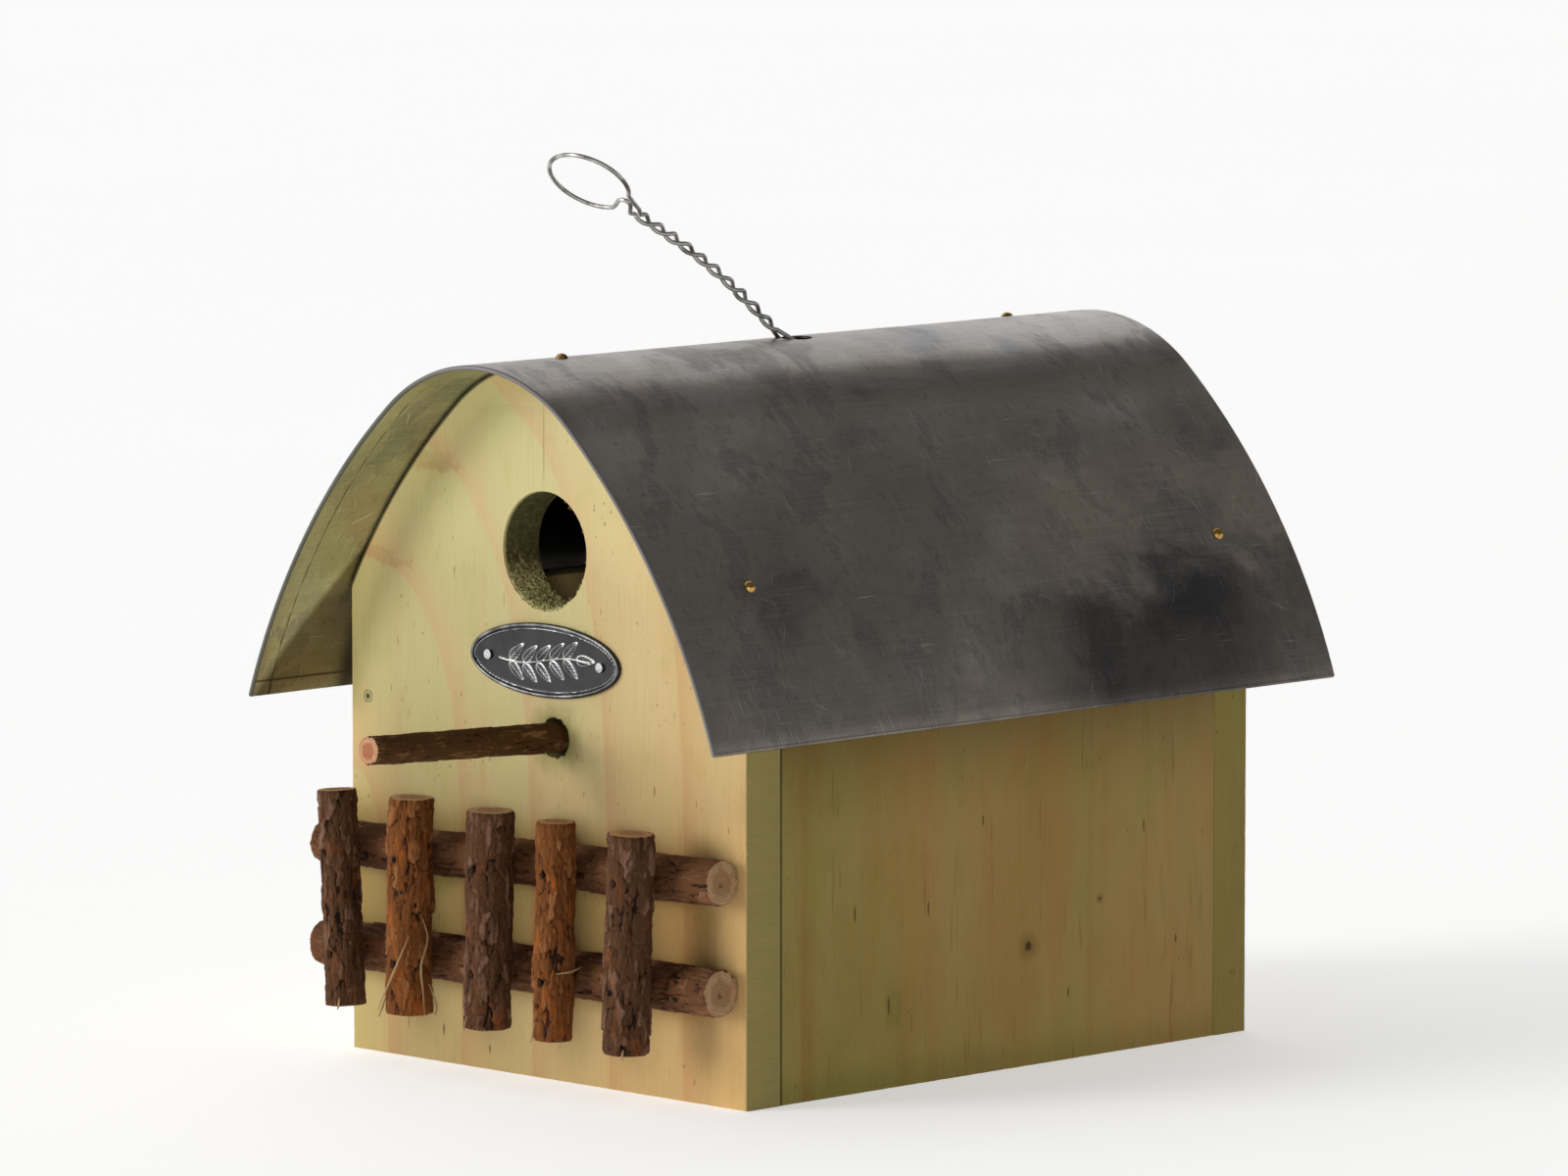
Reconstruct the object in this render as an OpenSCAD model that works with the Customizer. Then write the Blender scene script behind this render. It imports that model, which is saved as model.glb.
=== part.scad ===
// Wooden birdhouse with an arched zinc roof, a twig perch and a rustic fence.
// Millimetres. X is across the front, Y runs from the front to the back, Z is up.
// The origin is the centre of the underside of the floor.

/* [Box] */
// Outside width across the front
body_w = 164; // [150:1:176]
// Outside depth, from the front face to the back face
body_d = 209; // [180:1:250]
// Thickness of the front, back and side boards
board_t = 14; // [11:0.5:17]
// Thickness of the floor board
floor_t = 12; // [9:0.5:18]
// Gap between the top of a side panel and the roof above its outer face
side_top_gap = 2.6; // [1:0.1:8]

/* [Roof sheet] */
// Height of the ridge above the base
ridge_h = 208.5; // [195:0.5:225]
// Outside radius of the crown of the arch
crown_r = 56.6; // [50:0.2:62]
// Angle from the ridge to where the crown meets a flank
crown_angle = 41; // [37:0.5:45]
// Outside radius of the flatter flanks
flank_r = 207; // [195:1:260]
// How far each eave stands out beyond the side wall
eave_out = 15; // [10:0.5:19]
// How far the sheet stands out in front of the box
front_overhang = 27.5; // [15:0.5:40]
// How far the sheet stands out behind the box
back_overhang = 22.5; // [15:0.5:40]
// Thickness of the zinc sheet
sheet_t = 0.7; // [0.5:0.1:1.2]
// Width of the hem folded under the front and back edges
end_hem = 7; // [4:0.5:10]
// Width of the hem folded under each eave
eave_hem = 4.5; // [3:0.5:7]

/* [Entrance and perch] */
// Diameter of the entrance hole
entrance_d = 34; // [26:1:40]
// Height of the centre of the entrance hole
entrance_z = 153.3; // [148:0.5:160]
// Diameter of the perch twig
perch_d = 8.6; // [7:0.2:10]
// Length of the perch in front of the box
perch_out = 73; // [50:1:90]
// Distance of the perch to the right of the centre line
perch_x = 4; // [-6:0.5:8]
// Height of the perch at the front face
perch_z = 99.6; // [94:0.5:104]
// Upward slope of the perch in degrees
perch_rise = 2.3; // [0:0.1:3]
// Diameter of the hole that the perch sits in
perch_hole_d = 10.8; // [10.6:0.1:12]

/* [Badge] */
// Length of the oval plate
badge_l = 61.5; // [50:0.5:70]
// Height of the oval plate
badge_h = 21.5; // [16:0.5:24]
// Thickness of the plate between its rims
badge_t = 0.8; // [0.6:0.1:1.5]
// Height of the centre of the plate
badge_z = 121.8; // [118:0.5:124]
// Distance between the two badge pins
badge_pin_pitch = 46.4; // [40:0.2:48]

/* [Fence] */
// Diameter of the upper rail
upper_rail_d = 13.2; // [10:0.2:15]
// Diameter of the lower rail
lower_rail_d = 13.8; // [10:0.2:15]
// Height of the upper rail at the centre line
upper_rail_z = 64; // [58:0.5:68]
// Height of the lower rail at the centre line
lower_rail_z = 33.3; // [28:0.5:40]
// Upward slope of the upper rail towards the right, in degrees
upper_rail_rise = 1.4; // [0:0.1:2]
// Upward slope of the lower rail towards the right, in degrees
lower_rail_rise = 0.8; // [0:0.1:2]
// How far the rails stand out past the left side of the box
rail_past_left = 4; // [0:0.5:12]
// How far the rails stop short of the right side of the box
rail_short_right = 3; // [0:0.5:12]
// Length of a post
post_l = 63; // [56:0.5:72]
// Distance of the first post from the left ends of the rails
first_post_in = 21.6; // [18:0.2:28]
// Distance of the last post from the right ends of the rails
last_post_in = 23.4; // [18:0.2:28]

/* [Hanger] */
// Diameter of the galvanized wire
wire_d = 1.3; // [1:0.1:1.5]
// Forward lean of the stem from upright, in degrees, where it rests on the rim of its hole
hanger_lean = 56.6; // [45:0.2:62]
// Length of the twisted stem from the pivot to the loop
stem_l = 80.5; // [60:0.1:110]
// Full turns of twist in the stem
stem_turns = 5; // [3:1:7]
// Length of the loop, along the stem
loop_l = 28.5; // [24:0.5:40]
// Width of the loop
loop_w = 32.7; // [26:0.1:44]
// Length of each wire end turned outwards under the ridge
hanger_arm = 9; // [8.5:0.5:12]

/* [Clean-out panel] */
// Height of the pivot nails of the left side panel
pivot_z = 104.8; // [96:0.2:112]
// Diameter of a pivot nail
pivot_nail_d = 2.2; // [1.8:0.1:3]
// Depth of a pivot nail in the panel
pivot_depth = 22; // [14:1:30]
// Gap between the swinging panel and each board beside it
panel_gap = 0.6; // [0.3:0.1:1.5]
// Gap under the swinging panel
panel_lift = 1; // [0.5:0.1:3]

/* [Fasteners] */
// Diameter of the domed head of a roof nail
roof_nail_head_d = 3.8; // [3:0.1:6]
// Diameter of the shank of a roof nail
roof_nail_d = 1.4; // [1.2:0.1:1.8]
// Length of a roof nail below its head
roof_nail_l = 18; // [12:1:25]
// Distance of the lower roof nails from the centre line
roof_nail_x = 76.5; // [70:0.5:78]
// Diameter of the pins and brads
pin_d = 1.4; // [1.2:0.1:1.8]
// Length of the brads that join the boards
brad_l = 38; // [30:1:42]

/* [Hidden] */
$fn = 128;

// Clearances
seat = 0.1;         // between pieces that touch
shank_gap = 0.05;   // round a nail, pin or brad, on the radius
hinge_gap = 0.05;   // round a pivot nail in the swinging panel, on the radius
through = 1;        // how far a cutting tool runs past a face

// Box
half_w = body_w / 2;
front_y = -body_d / 2;
back_y = body_d / 2;
inner_w = body_w - 2 * board_t;
inner_d = body_d - 2 * board_t;
far = body_w + body_d + ridge_h;

// Roof arch: one crown arc between two flank arcs, tangent where they meet
crown_z = ridge_h - crown_r;
flank_x = (crown_r - flank_r) * sin(crown_angle);
flank_z = crown_z + (crown_r - flank_r) * cos(crown_angle);
eave_x = half_w + eave_out;
eave_angle = asin((eave_x - flank_x) / flank_r);
fold_angle = eave_angle - eave_hem / flank_r * 180 / PI;
roof_l = front_overhang + body_d + back_overhang;
roof_y = front_y - front_overhang;
gable_inset = sheet_t + seat;

// Angles from upright of the points that the arch is drawn through, from left to right
crown_steps = 14;
flank_steps = 12;
edge_steps = 6;
half_stations = concat(
    [for (i = [1:crown_steps - 1]) crown_angle * i / crown_steps],
    [for (i = [0:flank_steps - 1])
        crown_angle + (fold_angle - crown_angle) * i / flank_steps],
    [fold_angle, eave_angle]
);
stations = concat(reversed(-half_stations), [0], half_stations);

// Point of the arch at an angle from upright, inset from its outer face
function arch_point(angle, inset) = abs(angle) < crown_angle
    ? [0, crown_z] + (crown_r - inset) * [sin(angle), cos(angle)]
    : [sign(angle) * flank_x, flank_z] + (flank_r - inset) * [sin(angle), cos(angle)];
function arch_line(inset, limit) = [
    for (angle = stations) if (abs(angle) <= limit) arch_point(angle, inset)
];
function reversed(list) = [for (i = [len(list) - 1:-1:0]) list[i]];

// Height of the arch, inset from its outer face, at a distance x from the centre line
function arch_z(x, inset) =
    abs(x) < (crown_r - inset) * sin(crown_angle)
    ? crown_z + sqrt(pow(crown_r - inset, 2) - x * x)
    : flank_z + sqrt(pow(flank_r - inset, 2) - pow(abs(x) - flank_x, 2));

side_h = arch_z(half_w, sheet_t) - side_top_gap;

// Roof nails
ridge_nail_x = [0, -10];   // at the front and at the back
nail_dome = 1.3;           // height of a domed head

// Perch
perch_inside = board_t - 2;   // length of the perch in the board

// Badge
badge_x = 0.8;
badge_y = front_y - seat - badge_t;   // face of the plate between its rims
rim_w = 1.3;
rim_rise = 0.5;
badge_pin_l = 11;

// Fence
post_shift = [-0.7, -0.9, 2.8, -1.1, 0];   // how far each post is out of its even place
post_d = [11.8, 13.3, 13.9, 11.4, 13.6];
post_lean = [-3.2, 1.5, 1.4, 1.6, 2.2];
post_mid_z = [48.5, 49.2, 48.7, 47.9, 47.6];
bark_relief = 0.2;            // how far a stick swells and narrows
stick_steps = 9;              // changes of thickness along a stick
uneven_step = 137.5;          // angles that keep the changes irregular
seed_step = 71;
rail_left = -half_w - rail_past_left;
rail_right = half_w - rail_short_right;
rail_d = max(upper_rail_d, lower_rail_d);
post_pitch = (rail_right - rail_left - first_post_in - last_post_in) / (len(post_d) - 1);
rail_bite = 9;                // depth of a rail nail in its rail
pin_bite = 9;                 // depth of a fence pin in its rail

// Hanger: the pivot axis runs through the turned-out ends under the ridge
wire_r = wire_d / 2;
wire_gap = 0.12;
leg_x = 2.7;                  // half the spread of the two legs in the hole
twist_r = wire_r + 0.45;      // radius of the twist, with open eyes between the strands
stem_bow = 2.3;               // how far the stem bows up between its ends
hanger_y = -3.5;
arm_tip = hanger_arm + wire_r;
hanger_z = crown_z + sqrt(pow(crown_r - sheet_t, 2) - arm_tip * arm_tip) - wire_r - wire_gap;
hanger_rise = ridge_h - hanger_z;
hanger_reach = hanger_rise * tan(hanger_lean) + wire_r / cos(hanger_lean);
hanger_hole_r = norm([leg_x + wire_r / 2, hanger_reach]) + wire_gap;
wire_sides = 8;
turn_steps = 10;
twist_steps = stem_turns * turn_steps;
twist_start = 9;              // distance from the pivot to the first crossing
loop_steps = 28;
neck = 4.2;                   // length over which the strands open into the loop
loop_shift = -4;              // the loop hangs a little to the left
loop_skew = 6.2;              // and its right side stands higher than its left
loop_start = 37;              // angles, round the loop, where the strands enter and leave it
loop_end = 348;
bend_r = 1.2;                 // bend between a leg and its turned-out end

// Points of the wire beside the start of the loop, in wire diameters: of the strand that runs up
// into the loop, and of the one that comes back, which hooks up to it and then turns down past it
neck_points = [[2, -1.4, -0.25], [3, 1.3, -0.15]];
hook_points = [
    [-3.1, 0.9, 0], [-1.3, 2.4, 0], [0.2, 3.1, 0], [1.3, 3.15, 0], [2, 2.7, 0.05],
    [2.2, 1.95, 0.2], [1.8, 1.1, 0.4], [1.1, 0.2, 0.6], [0.2, -0.8, 0.7], [-0.6, -1.8, 0.6]
];

// Clean-out panel
pivot_x = -half_w + board_t / 2;
pivot_head_d = pivot_nail_d + 1;
nail_head_t = 1;              // thickness of a flat nail head, let in flush

// Brads
brad_sink = 1;                // brads are punched below the surface
side_brad_z = [33, 66, 112];
floor_brad_x = [-42, 42];

// Stands a drawing of the front view up, with its thickness running back from y
module upright(y, thickness) {
    translate([0, y + thickness, 0])
        rotate([90, 0, 0])
            linear_extrude(thickness)
                children();
}

// A round hole or rod along Y
module rod_y(x, y, z, r, l) {
    translate([x, y, z])
        rotate([-90, 0, 0])
            cylinder(r = r, h = l);
}

// Places a roof nail on the arch, with +Z of its children standing off the sheet
module on_arch(x, y) {
    side = x < 0 ? -1 : 1;
    on_crown = abs(x) < crown_r * sin(crown_angle);
    tilt = on_crown ? asin(x / crown_r) : side * asin((abs(x) - flank_x) / flank_r);
    translate([x, y, arch_z(x, 0)])
        rotate([0, tilt, 0])
            children();
}

module at_roof_nails() {
    for (y = [front_y + board_t / 2, back_y - board_t / 2]) {
        on_arch(-roof_nail_x, y) children();
        on_arch(y < 0 ? ridge_nail_x[0] : ridge_nail_x[1], y) children();
        on_arch(roof_nail_x, y) children();
    }
}

module roof_nail_holes() {
    at_roof_nails()
        translate([0, 0, -roof_nail_l - seat])
            cylinder(d = roof_nail_d + 2 * shank_gap, h = roof_nail_l + 2 * through);
}

module gable_outline() {
    intersection() {
        polygon(concat(arch_line(gable_inset, eave_angle), [[eave_x, 0], [-eave_x, 0]]));
        translate([-half_w, 0]) square([body_w, ridge_h]);
    }
}

// Brads through the front and back boards into the right side panel
module side_brad_rods(r, sink, l) {
    for (z = side_brad_z) {
        rod_y(half_w - board_t / 2, front_y + sink, z, r, l);
        rod_y(half_w - board_t / 2, back_y - sink - l, z, r, l);
    }
}

// Brads through the front and back boards into the floor
module floor_brad_rods(r, sink, l) {
    for (x = floor_brad_x) {
        rod_y(x, front_y + sink, floor_t / 2, r, l);
        rod_y(x, back_y - sink - l, floor_t / 2, r, l);
    }
}

module brad_holes() {
    hole_r = pin_d / 2 + shank_gap;
    side_brad_rods(hole_r, -through, brad_l + brad_sink + through + seat);
    floor_brad_rods(hole_r, -through, brad_l + brad_sink + through + seat);
}

module pivot_nail_rods(r, head_r, gap) {
    l = board_t + panel_gap + pivot_depth;
    for (side = [-1, 1])
        translate([pivot_x, 0, pivot_z])
            rotate([0, 0, side < 0 ? 0 : 180]) {
                rod_y(0, front_y - gap, 0, r, l + 2 * gap);
                rod_y(0, front_y - gap, 0, head_r, nail_head_t + 2 * gap);
            }
}

function rail_z(x, upper) = upper
    ? upper_rail_z + x * tan(upper_rail_rise)
    : lower_rail_z + x * tan(lower_rail_rise);
function rail_size(upper) = upper ? upper_rail_d : lower_rail_d;
function rail_y(upper) = front_y - seat - rail_size(upper) / 2;

// A nail holds each rail midway between its first two and its last two posts
function rail_nail_x() = [for (i = [0, len(post_d) - 2]) (post_x(i) + post_x(i + 1)) / 2];

module rail_nail_rods(r, head_r, gap) {
    for (upper = [true, false])
        for (x = rail_nail_x())
            translate([x, 0, rail_z(x, upper)]) {
                rod_y(0, front_y - rail_bite - gap, 0, r, rail_bite + board_t + 2 * gap);
                rod_y(0, front_y + board_t - nail_head_t - gap, 0, head_r, nail_head_t + 2 * gap);
            }
}

module perch_place() {
    translate([perch_x, front_y, perch_z])
        rotate([90 - perch_rise, 0, 0])
            children();
}

// A stick along +Z from the origin, a little uneven in thickness
module stick(d, l, seed) {
    rotate_extrude()
        polygon(concat(
            [[0, 0]],
            [for (i = [0:stick_steps])
                [d / 2 + bark_relief * (sin(i * uneven_step + seed * seed_step) - 1),
                 l * i / stick_steps]],
            [[0, l]]
        ));
}

module front_board() {
    color("darkkhaki")
        difference() {
            upright(front_y, board_t) gable_outline();
            rod_y(0, front_y - through, entrance_z, entrance_d / 2, board_t + 2 * through);
            rod_y(perch_x, front_y - through, perch_z + seat, perch_hole_d / 2,
                  board_t + 2 * through);
            roof_nail_holes();
            brad_holes();
            pivot_nail_rods(pivot_nail_d / 2 + shank_gap, pivot_head_d / 2 + shank_gap, seat);
            rail_nail_rods(pin_d / 2 + shank_gap, pin_d + shank_gap, seat);
            badge_pin_rods(pin_d / 2 + shank_gap, seat);
        }
}

module back_board() {
    color("darkkhaki")
        difference() {
            upright(back_y - board_t, board_t) gable_outline();
            roof_nail_holes();
            brad_holes();
            pivot_nail_rods(pivot_nail_d / 2 + shank_gap, pivot_head_d / 2 + shank_gap, seat);
        }
}

module right_side_panel() {
    color("darkkhaki")
        difference() {
            translate([half_w - board_t, -inner_d / 2, 0]) cube([board_t, inner_d, side_h]);
            brad_holes();
        }
}

module left_side_panel() {
    l = inner_d - 2 * panel_gap;
    color("darkkhaki")
        difference() {
            translate([-half_w, -l / 2, panel_lift]) cube([board_t, l, side_h - panel_lift]);
            pivot_nail_rods(pivot_nail_d / 2 + hinge_gap, pivot_nail_d / 2 + hinge_gap, seat);
        }
}

module floor_panel() {
    color("tan")
        difference() {
            translate([-inner_w / 2 + seat, -inner_d / 2, 0])
                cube([inner_w - seat, inner_d, floor_t]);
            brad_holes();
        }
}

// Round edge of the right eave, where the sheet turns back on itself
function eave_edge() = [
    for (i = [1:edge_steps - 1])
        let (turn = eave_angle + 180 * i / edge_steps)
        arch_point(eave_angle, sheet_t) + sheet_t * [sin(turn), cos(turn)]
];
function mirrored(points) = [for (p = points) [-p[0], p[1]]];

// Section of the sheet, double as far in as the given angle from each eave
module sheet_section(fold) {
    right_fold = [
        for (angle = reversed(half_stations)) if (angle >= fold) arch_point(angle, 2 * sheet_t)
    ];
    polygon(concat(
        arch_line(0, eave_angle), eave_edge(), right_fold,
        fold > 0 ? reversed(arch_line(sheet_t, fold)) : [arch_point(0, 2 * sheet_t)],
        mirrored(reversed(right_fold)), mirrored(reversed(eave_edge()))
    ));
}

module roof_sheet() {
    color("dimgray")
        difference() {
            union() {
                upright(roof_y, roof_l) sheet_section(fold_angle);
                upright(roof_y, end_hem) sheet_section(0);
                upright(roof_y + roof_l - end_hem, end_hem) sheet_section(0);
            }
            translate([0, hanger_y, ridge_h - far / 2]) cylinder(r = hanger_hole_r, h = far);
            roof_nail_holes();
        }
}

module roof_nails() {
    dome_r = (pow(roof_nail_head_d / 2, 2) + pow(nail_dome, 2)) / (2 * nail_dome);
    color("goldenrod")
        at_roof_nails()
            translate([0, 0, seat]) {
                intersection() {
                    translate([0, 0, nail_dome - dome_r]) sphere(r = dome_r);
                    cylinder(d = roof_nail_head_d, h = nail_dome);
                }
                translate([0, 0, -roof_nail_l]) cylinder(d = roof_nail_d, h = roof_nail_l + seat);
            }
}

// Route of the wire as [across, along the stem, out of the plane of the loop]
function strand(phase) = [
    for (i = [0:twist_steps])
        let (turn = phase + 360 * i / turn_steps)
        [
            twist_r * cos(turn),
            twist_start + (stem_l - neck - twist_start) * i / twist_steps,
            twist_r * sin(turn) - stem_bow * sin(180 * i / twist_steps)
        ]
];
function loop_points() = [
    for (i = [0:loop_steps])
        let (turn = loop_start + (loop_end - loop_start) * i / loop_steps)
        [
            loop_shift + loop_w / 2 * sin(turn),
            stem_l + loop_l / 2 * (1 - cos(turn)) + loop_skew * sin(turn),
            0
        ]
];
function at_neck(points) = [for (p = points) [0, stem_l, 0] + wire_d * p];
function leg(side) = concat(
    [[side * hanger_arm, 0, 0]],
    [for (turn = [0:30:90])
        [side * (leg_x + bend_r * (1 - sin(turn))), bend_r * (1 - cos(turn)), 0]],
    [[side * leg_x, hanger_rise / cos(hanger_lean), 0]]
);
function wire_route() = concat(
    leg(1), strand(0), at_neck(neck_points), loop_points(), at_neck(hook_points),
    reversed(strand(180)), reversed(leg(-1))
);

// Unit vectors for a tube: the direction at each point, and a side that turns as little as it can
function unit(v) = v / norm(v);
function directions(p) = [
    for (i = [0:len(p) - 1]) unit(p[min(i + 1, len(p) - 1)] - p[max(i - 1, 0)])
];
function square_off(side, direction) = unit(side - (side * direction) * direction);
function sides_along(d) = [
    for (i = 0, s = square_off([0, 0, 1], d[0]);
         i < len(d);
         i = i + 1, s = i < len(d) ? square_off(s, d[i]) : s)
        s
];

module tube(points, r, sides) {
    along = directions(points);
    side = sides_along(along);
    last = len(points) - 1;
    rings = [
        for (i = [0:last])
            for (k = [0:sides - 1])
                let (turn = 360 * k / sides)
                points[i] + r * (cos(turn) * side[i] + sin(turn) * cross(along[i], side[i]))
    ];
    walls = [
        for (i = [0:last - 1])
            for (k = [0:sides - 1])
                let (next = (k + 1) % sides)
                [i * sides + k, (i + 1) * sides + k, (i + 1) * sides + next, i * sides + next]
    ];
    start_cap = [for (k = [0:sides - 1]) k];
    end_cap = [for (k = [sides - 1:-1:0]) last * sides + k];
    polyhedron(rings, concat(walls, [start_cap, end_cap]));
}

module hanger_wire() {
    color("silver")
        translate([0, hanger_y, hanger_z])
            rotate([hanger_lean, 0, 0])
                tube([for (p = wire_route()) [p[0], -p[2], p[1]]], wire_r, wire_sides);
}

module perch() {
    color("saddlebrown")
        perch_place()
            translate([0, 0, -perch_inside]) stick(perch_d, perch_out + perch_inside, 3);
}

module rail(upper, seed) {
    rise = upper ? upper_rail_rise : lower_rail_rise;
    color("saddlebrown")
        difference() {
            translate([rail_left, rail_y(upper), rail_z(rail_left, upper)])
                rotate([0, 90 - rise, 0])
                    stick(rail_size(upper), (rail_right - rail_left) / cos(rise), seed);
            rail_nail_rods(pin_d / 2 + shank_gap, pin_d + shank_gap, seat);
            fence_pin_rods(pin_d / 2 + shank_gap, seat);
        }
}

module fence_rail_upper() {
    rail(true, 1);
}

module fence_rail_lower() {
    rail(false, 2);
}

// Posts, counted from the left
function post_x(i) = rail_left + first_post_in + i * post_pitch + post_shift[i];
function post_y(i) = front_y - 2 * seat - rail_d - post_d[i] / 2;
function pin_x(i, upper) = post_x(i) + (rail_z(post_x(i), upper) - post_mid_z[i]) * tan(post_lean[i]);

module post(i) {
    color("sienna")
        difference() {
            translate([post_x(i), post_y(i), post_mid_z[i]])
                rotate([0, post_lean[i], 0])
                    translate([0, 0, -post_l / 2])
                        stick(post_d[i], post_l, i + 4);
            fence_pin_rods(pin_d / 2 + shank_gap, seat);
        }
}

module fence_post_1() {
    post(0);
}

module fence_post_2() {
    post(1);
}

module fence_post_3() {
    post(2);
}

module fence_post_4() {
    post(3);
}

module fence_post_5() {
    post(4);
}

// One pin at each crossing, from the face of the post to beyond the middle of the rail
module fence_pin_rods(r, gap) {
    for (i = [0:len(post_d) - 1])
        for (upper = [true, false])
            rod_y(pin_x(i, upper), post_y(i) - post_d[i] / 2 - gap, rail_z(pin_x(i, upper), upper),
                  r, post_d[i] + pin_bite + 2 * gap);
}

module fence_pins() {
    color("dimgray") fence_pin_rods(pin_d / 2, 0);
}

module rail_nails() {
    color("gray") rail_nail_rods(pin_d / 2, pin_d, 0);
}

// Oval of a given length and height, in the front view
module oval(l, h) {
    polygon([for (turn = [0:5:355]) [l / 2 * cos(turn), h / 2 * sin(turn)]]);
}

module badge_plate() {
    color("slategray")
        difference() {
            translate([badge_x, 0, badge_z]) {
                upright(badge_y, badge_t) oval(badge_l, badge_h);
                upright(badge_y - rim_rise, badge_t + rim_rise)
                    difference() {
                        oval(badge_l, badge_h);
                        oval(badge_l - 2 * rim_w, badge_h - 2 * rim_w);
                    }
            }
            badge_pin_rods(pin_d / 2 + shank_gap, seat);
        }
}

module badge_pin_rods(r, gap) {
    for (side = [-1, 1])
        rod_y(badge_x + side * badge_pin_pitch / 2, badge_y - seat - gap, badge_z,
              r, badge_pin_l + 2 * gap);
}

module badge_pins() {
    head_r = pin_d;
    head_h = 0.7;
    color("silver") {
        badge_pin_rods(pin_d / 2, 0);
        for (side = [-1, 1])
            rod_y(badge_x + side * badge_pin_pitch / 2, badge_y - seat - head_h, badge_z,
                  head_r, head_h);
    }
}

module pivot_nails() {
    color("gray") pivot_nail_rods(pivot_nail_d / 2, pivot_head_d / 2, 0);
}

module side_brads() {
    color("gray") side_brad_rods(pin_d / 2, brad_sink, brad_l);
}

module floor_brads() {
    color("gray") floor_brad_rods(pin_d / 2, brad_sink, brad_l);
}

front_board();
back_board();
right_side_panel();
left_side_panel();
floor_panel();
roof_sheet();
roof_nails();
hanger_wire();
perch();
fence_rail_upper();
fence_rail_lower();
fence_post_1();
fence_post_2();
fence_post_3();
fence_post_4();
fence_post_5();
fence_pins();
rail_nails();
badge_plate();
badge_pins();
pivot_nails();
side_brads();
floor_brads();
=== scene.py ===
"""Looks of a wooden birdhouse with an arched zinc roof, a twig perch and a rustic fence.

Metres, in the CAD frame: X is across the front, Y runs from the front to the back, Z is up.
"""
import math
import random

import bmesh
import bpy
from mathutils import Matrix, Vector, noise


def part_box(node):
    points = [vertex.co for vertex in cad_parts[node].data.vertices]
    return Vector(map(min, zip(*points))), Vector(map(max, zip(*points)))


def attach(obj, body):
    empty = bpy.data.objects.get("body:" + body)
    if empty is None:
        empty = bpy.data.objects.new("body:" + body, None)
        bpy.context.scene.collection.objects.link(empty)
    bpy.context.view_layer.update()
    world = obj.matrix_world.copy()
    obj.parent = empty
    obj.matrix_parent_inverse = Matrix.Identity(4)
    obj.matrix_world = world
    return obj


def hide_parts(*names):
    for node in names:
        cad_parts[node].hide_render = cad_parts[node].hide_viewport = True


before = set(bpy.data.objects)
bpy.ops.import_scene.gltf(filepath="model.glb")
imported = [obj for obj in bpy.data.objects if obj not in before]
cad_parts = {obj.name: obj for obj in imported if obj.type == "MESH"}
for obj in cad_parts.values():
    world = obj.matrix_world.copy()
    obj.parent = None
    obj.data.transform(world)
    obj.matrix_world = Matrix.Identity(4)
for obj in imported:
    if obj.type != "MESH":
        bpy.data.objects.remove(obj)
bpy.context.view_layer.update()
noise.seed_set(5)  # noise_vector takes its offsets from this seed

# ---- sizes

MM = 0.001
front_low, front_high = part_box("front_board")
roof_low, roof_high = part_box("roof_sheet")
FRONT_Y = front_low.y
BACK_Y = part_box("back_board")[1].y
HALF_W = front_high.x
BOARD_T = front_high.y - front_low.y
RIDGE_Z = roof_high.z

CROWN_R = 56.6 * MM
CROWN_ANGLE = math.radians(41)
FLANK_R = 207 * MM
SHEET_T = 0.7 * MM
GABLE_INSET = 0.8 * MM
END_HEM = 7 * MM
EAVE_HEM = 4.5 * MM
EAVE_X = 97 * MM
CROWN_Z = RIDGE_Z - CROWN_R
FLANK_X = (CROWN_R - FLANK_R) * math.sin(CROWN_ANGLE)
FLANK_Z = CROWN_Z + (CROWN_R - FLANK_R) * math.cos(CROWN_ANGLE)
EAVE_ANGLE = math.asin((EAVE_X - FLANK_X) / FLANK_R)
FOLD_ANGLE = EAVE_ANGLE - EAVE_HEM / FLANK_R

ENTRANCE = Vector((0, 0, 153.3 * MM))
ENTRANCE_R = 17 * MM
PERCH = Vector((4 * MM, 0, 99.6 * MM))
PERCH_HOLE_R = 5.6 * MM
PIVOT = Vector((-75 * MM, 0, 104.8 * MM))


def arch_point(angle, inset):
    """Point of the roof arch at an angle from upright, inset from its outer face, as (x, z)."""
    if abs(angle) < CROWN_ANGLE:
        reach = CROWN_R - inset
        return reach * math.sin(angle), CROWN_Z + reach * math.cos(angle)
    side = math.copysign(1, angle)
    reach = FLANK_R - inset
    return side * FLANK_X + reach * math.sin(angle), FLANK_Z + reach * math.cos(angle)


# ---- camera and light

AZIMUTH = math.radians(45)
ELEVATION = math.radians(6.54)
DISTANCE = 3.07
LENS = 238.3
AIM_RIGHT = -5.19 * MM
AIM_UP = 133.34 * MM


def new_object(name, data):
    """A new object in the scene."""
    made = bpy.data.objects.new(name, data)
    bpy.context.scene.collection.objects.link(made)
    return made


def make_camera():
    back = Vector((
        math.sin(AZIMUTH) * math.cos(ELEVATION),
        -math.cos(AZIMUTH) * math.cos(ELEVATION),
        math.sin(ELEVATION),
    ))
    right = Vector((math.cos(AZIMUTH), math.sin(AZIMUTH), 0))
    up = back.cross(right)
    camera = new_object("camera", bpy.data.cameras.new("camera"))
    camera.matrix_world = Matrix((right, up, back)).transposed().to_4x4()
    camera.location = right * AIM_RIGHT + up * AIM_UP + back * DISTANCE
    camera.data.sensor_width = 36
    camera.data.lens = LENS
    camera.data.clip_end = 100
    bpy.context.scene.camera = camera


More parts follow.
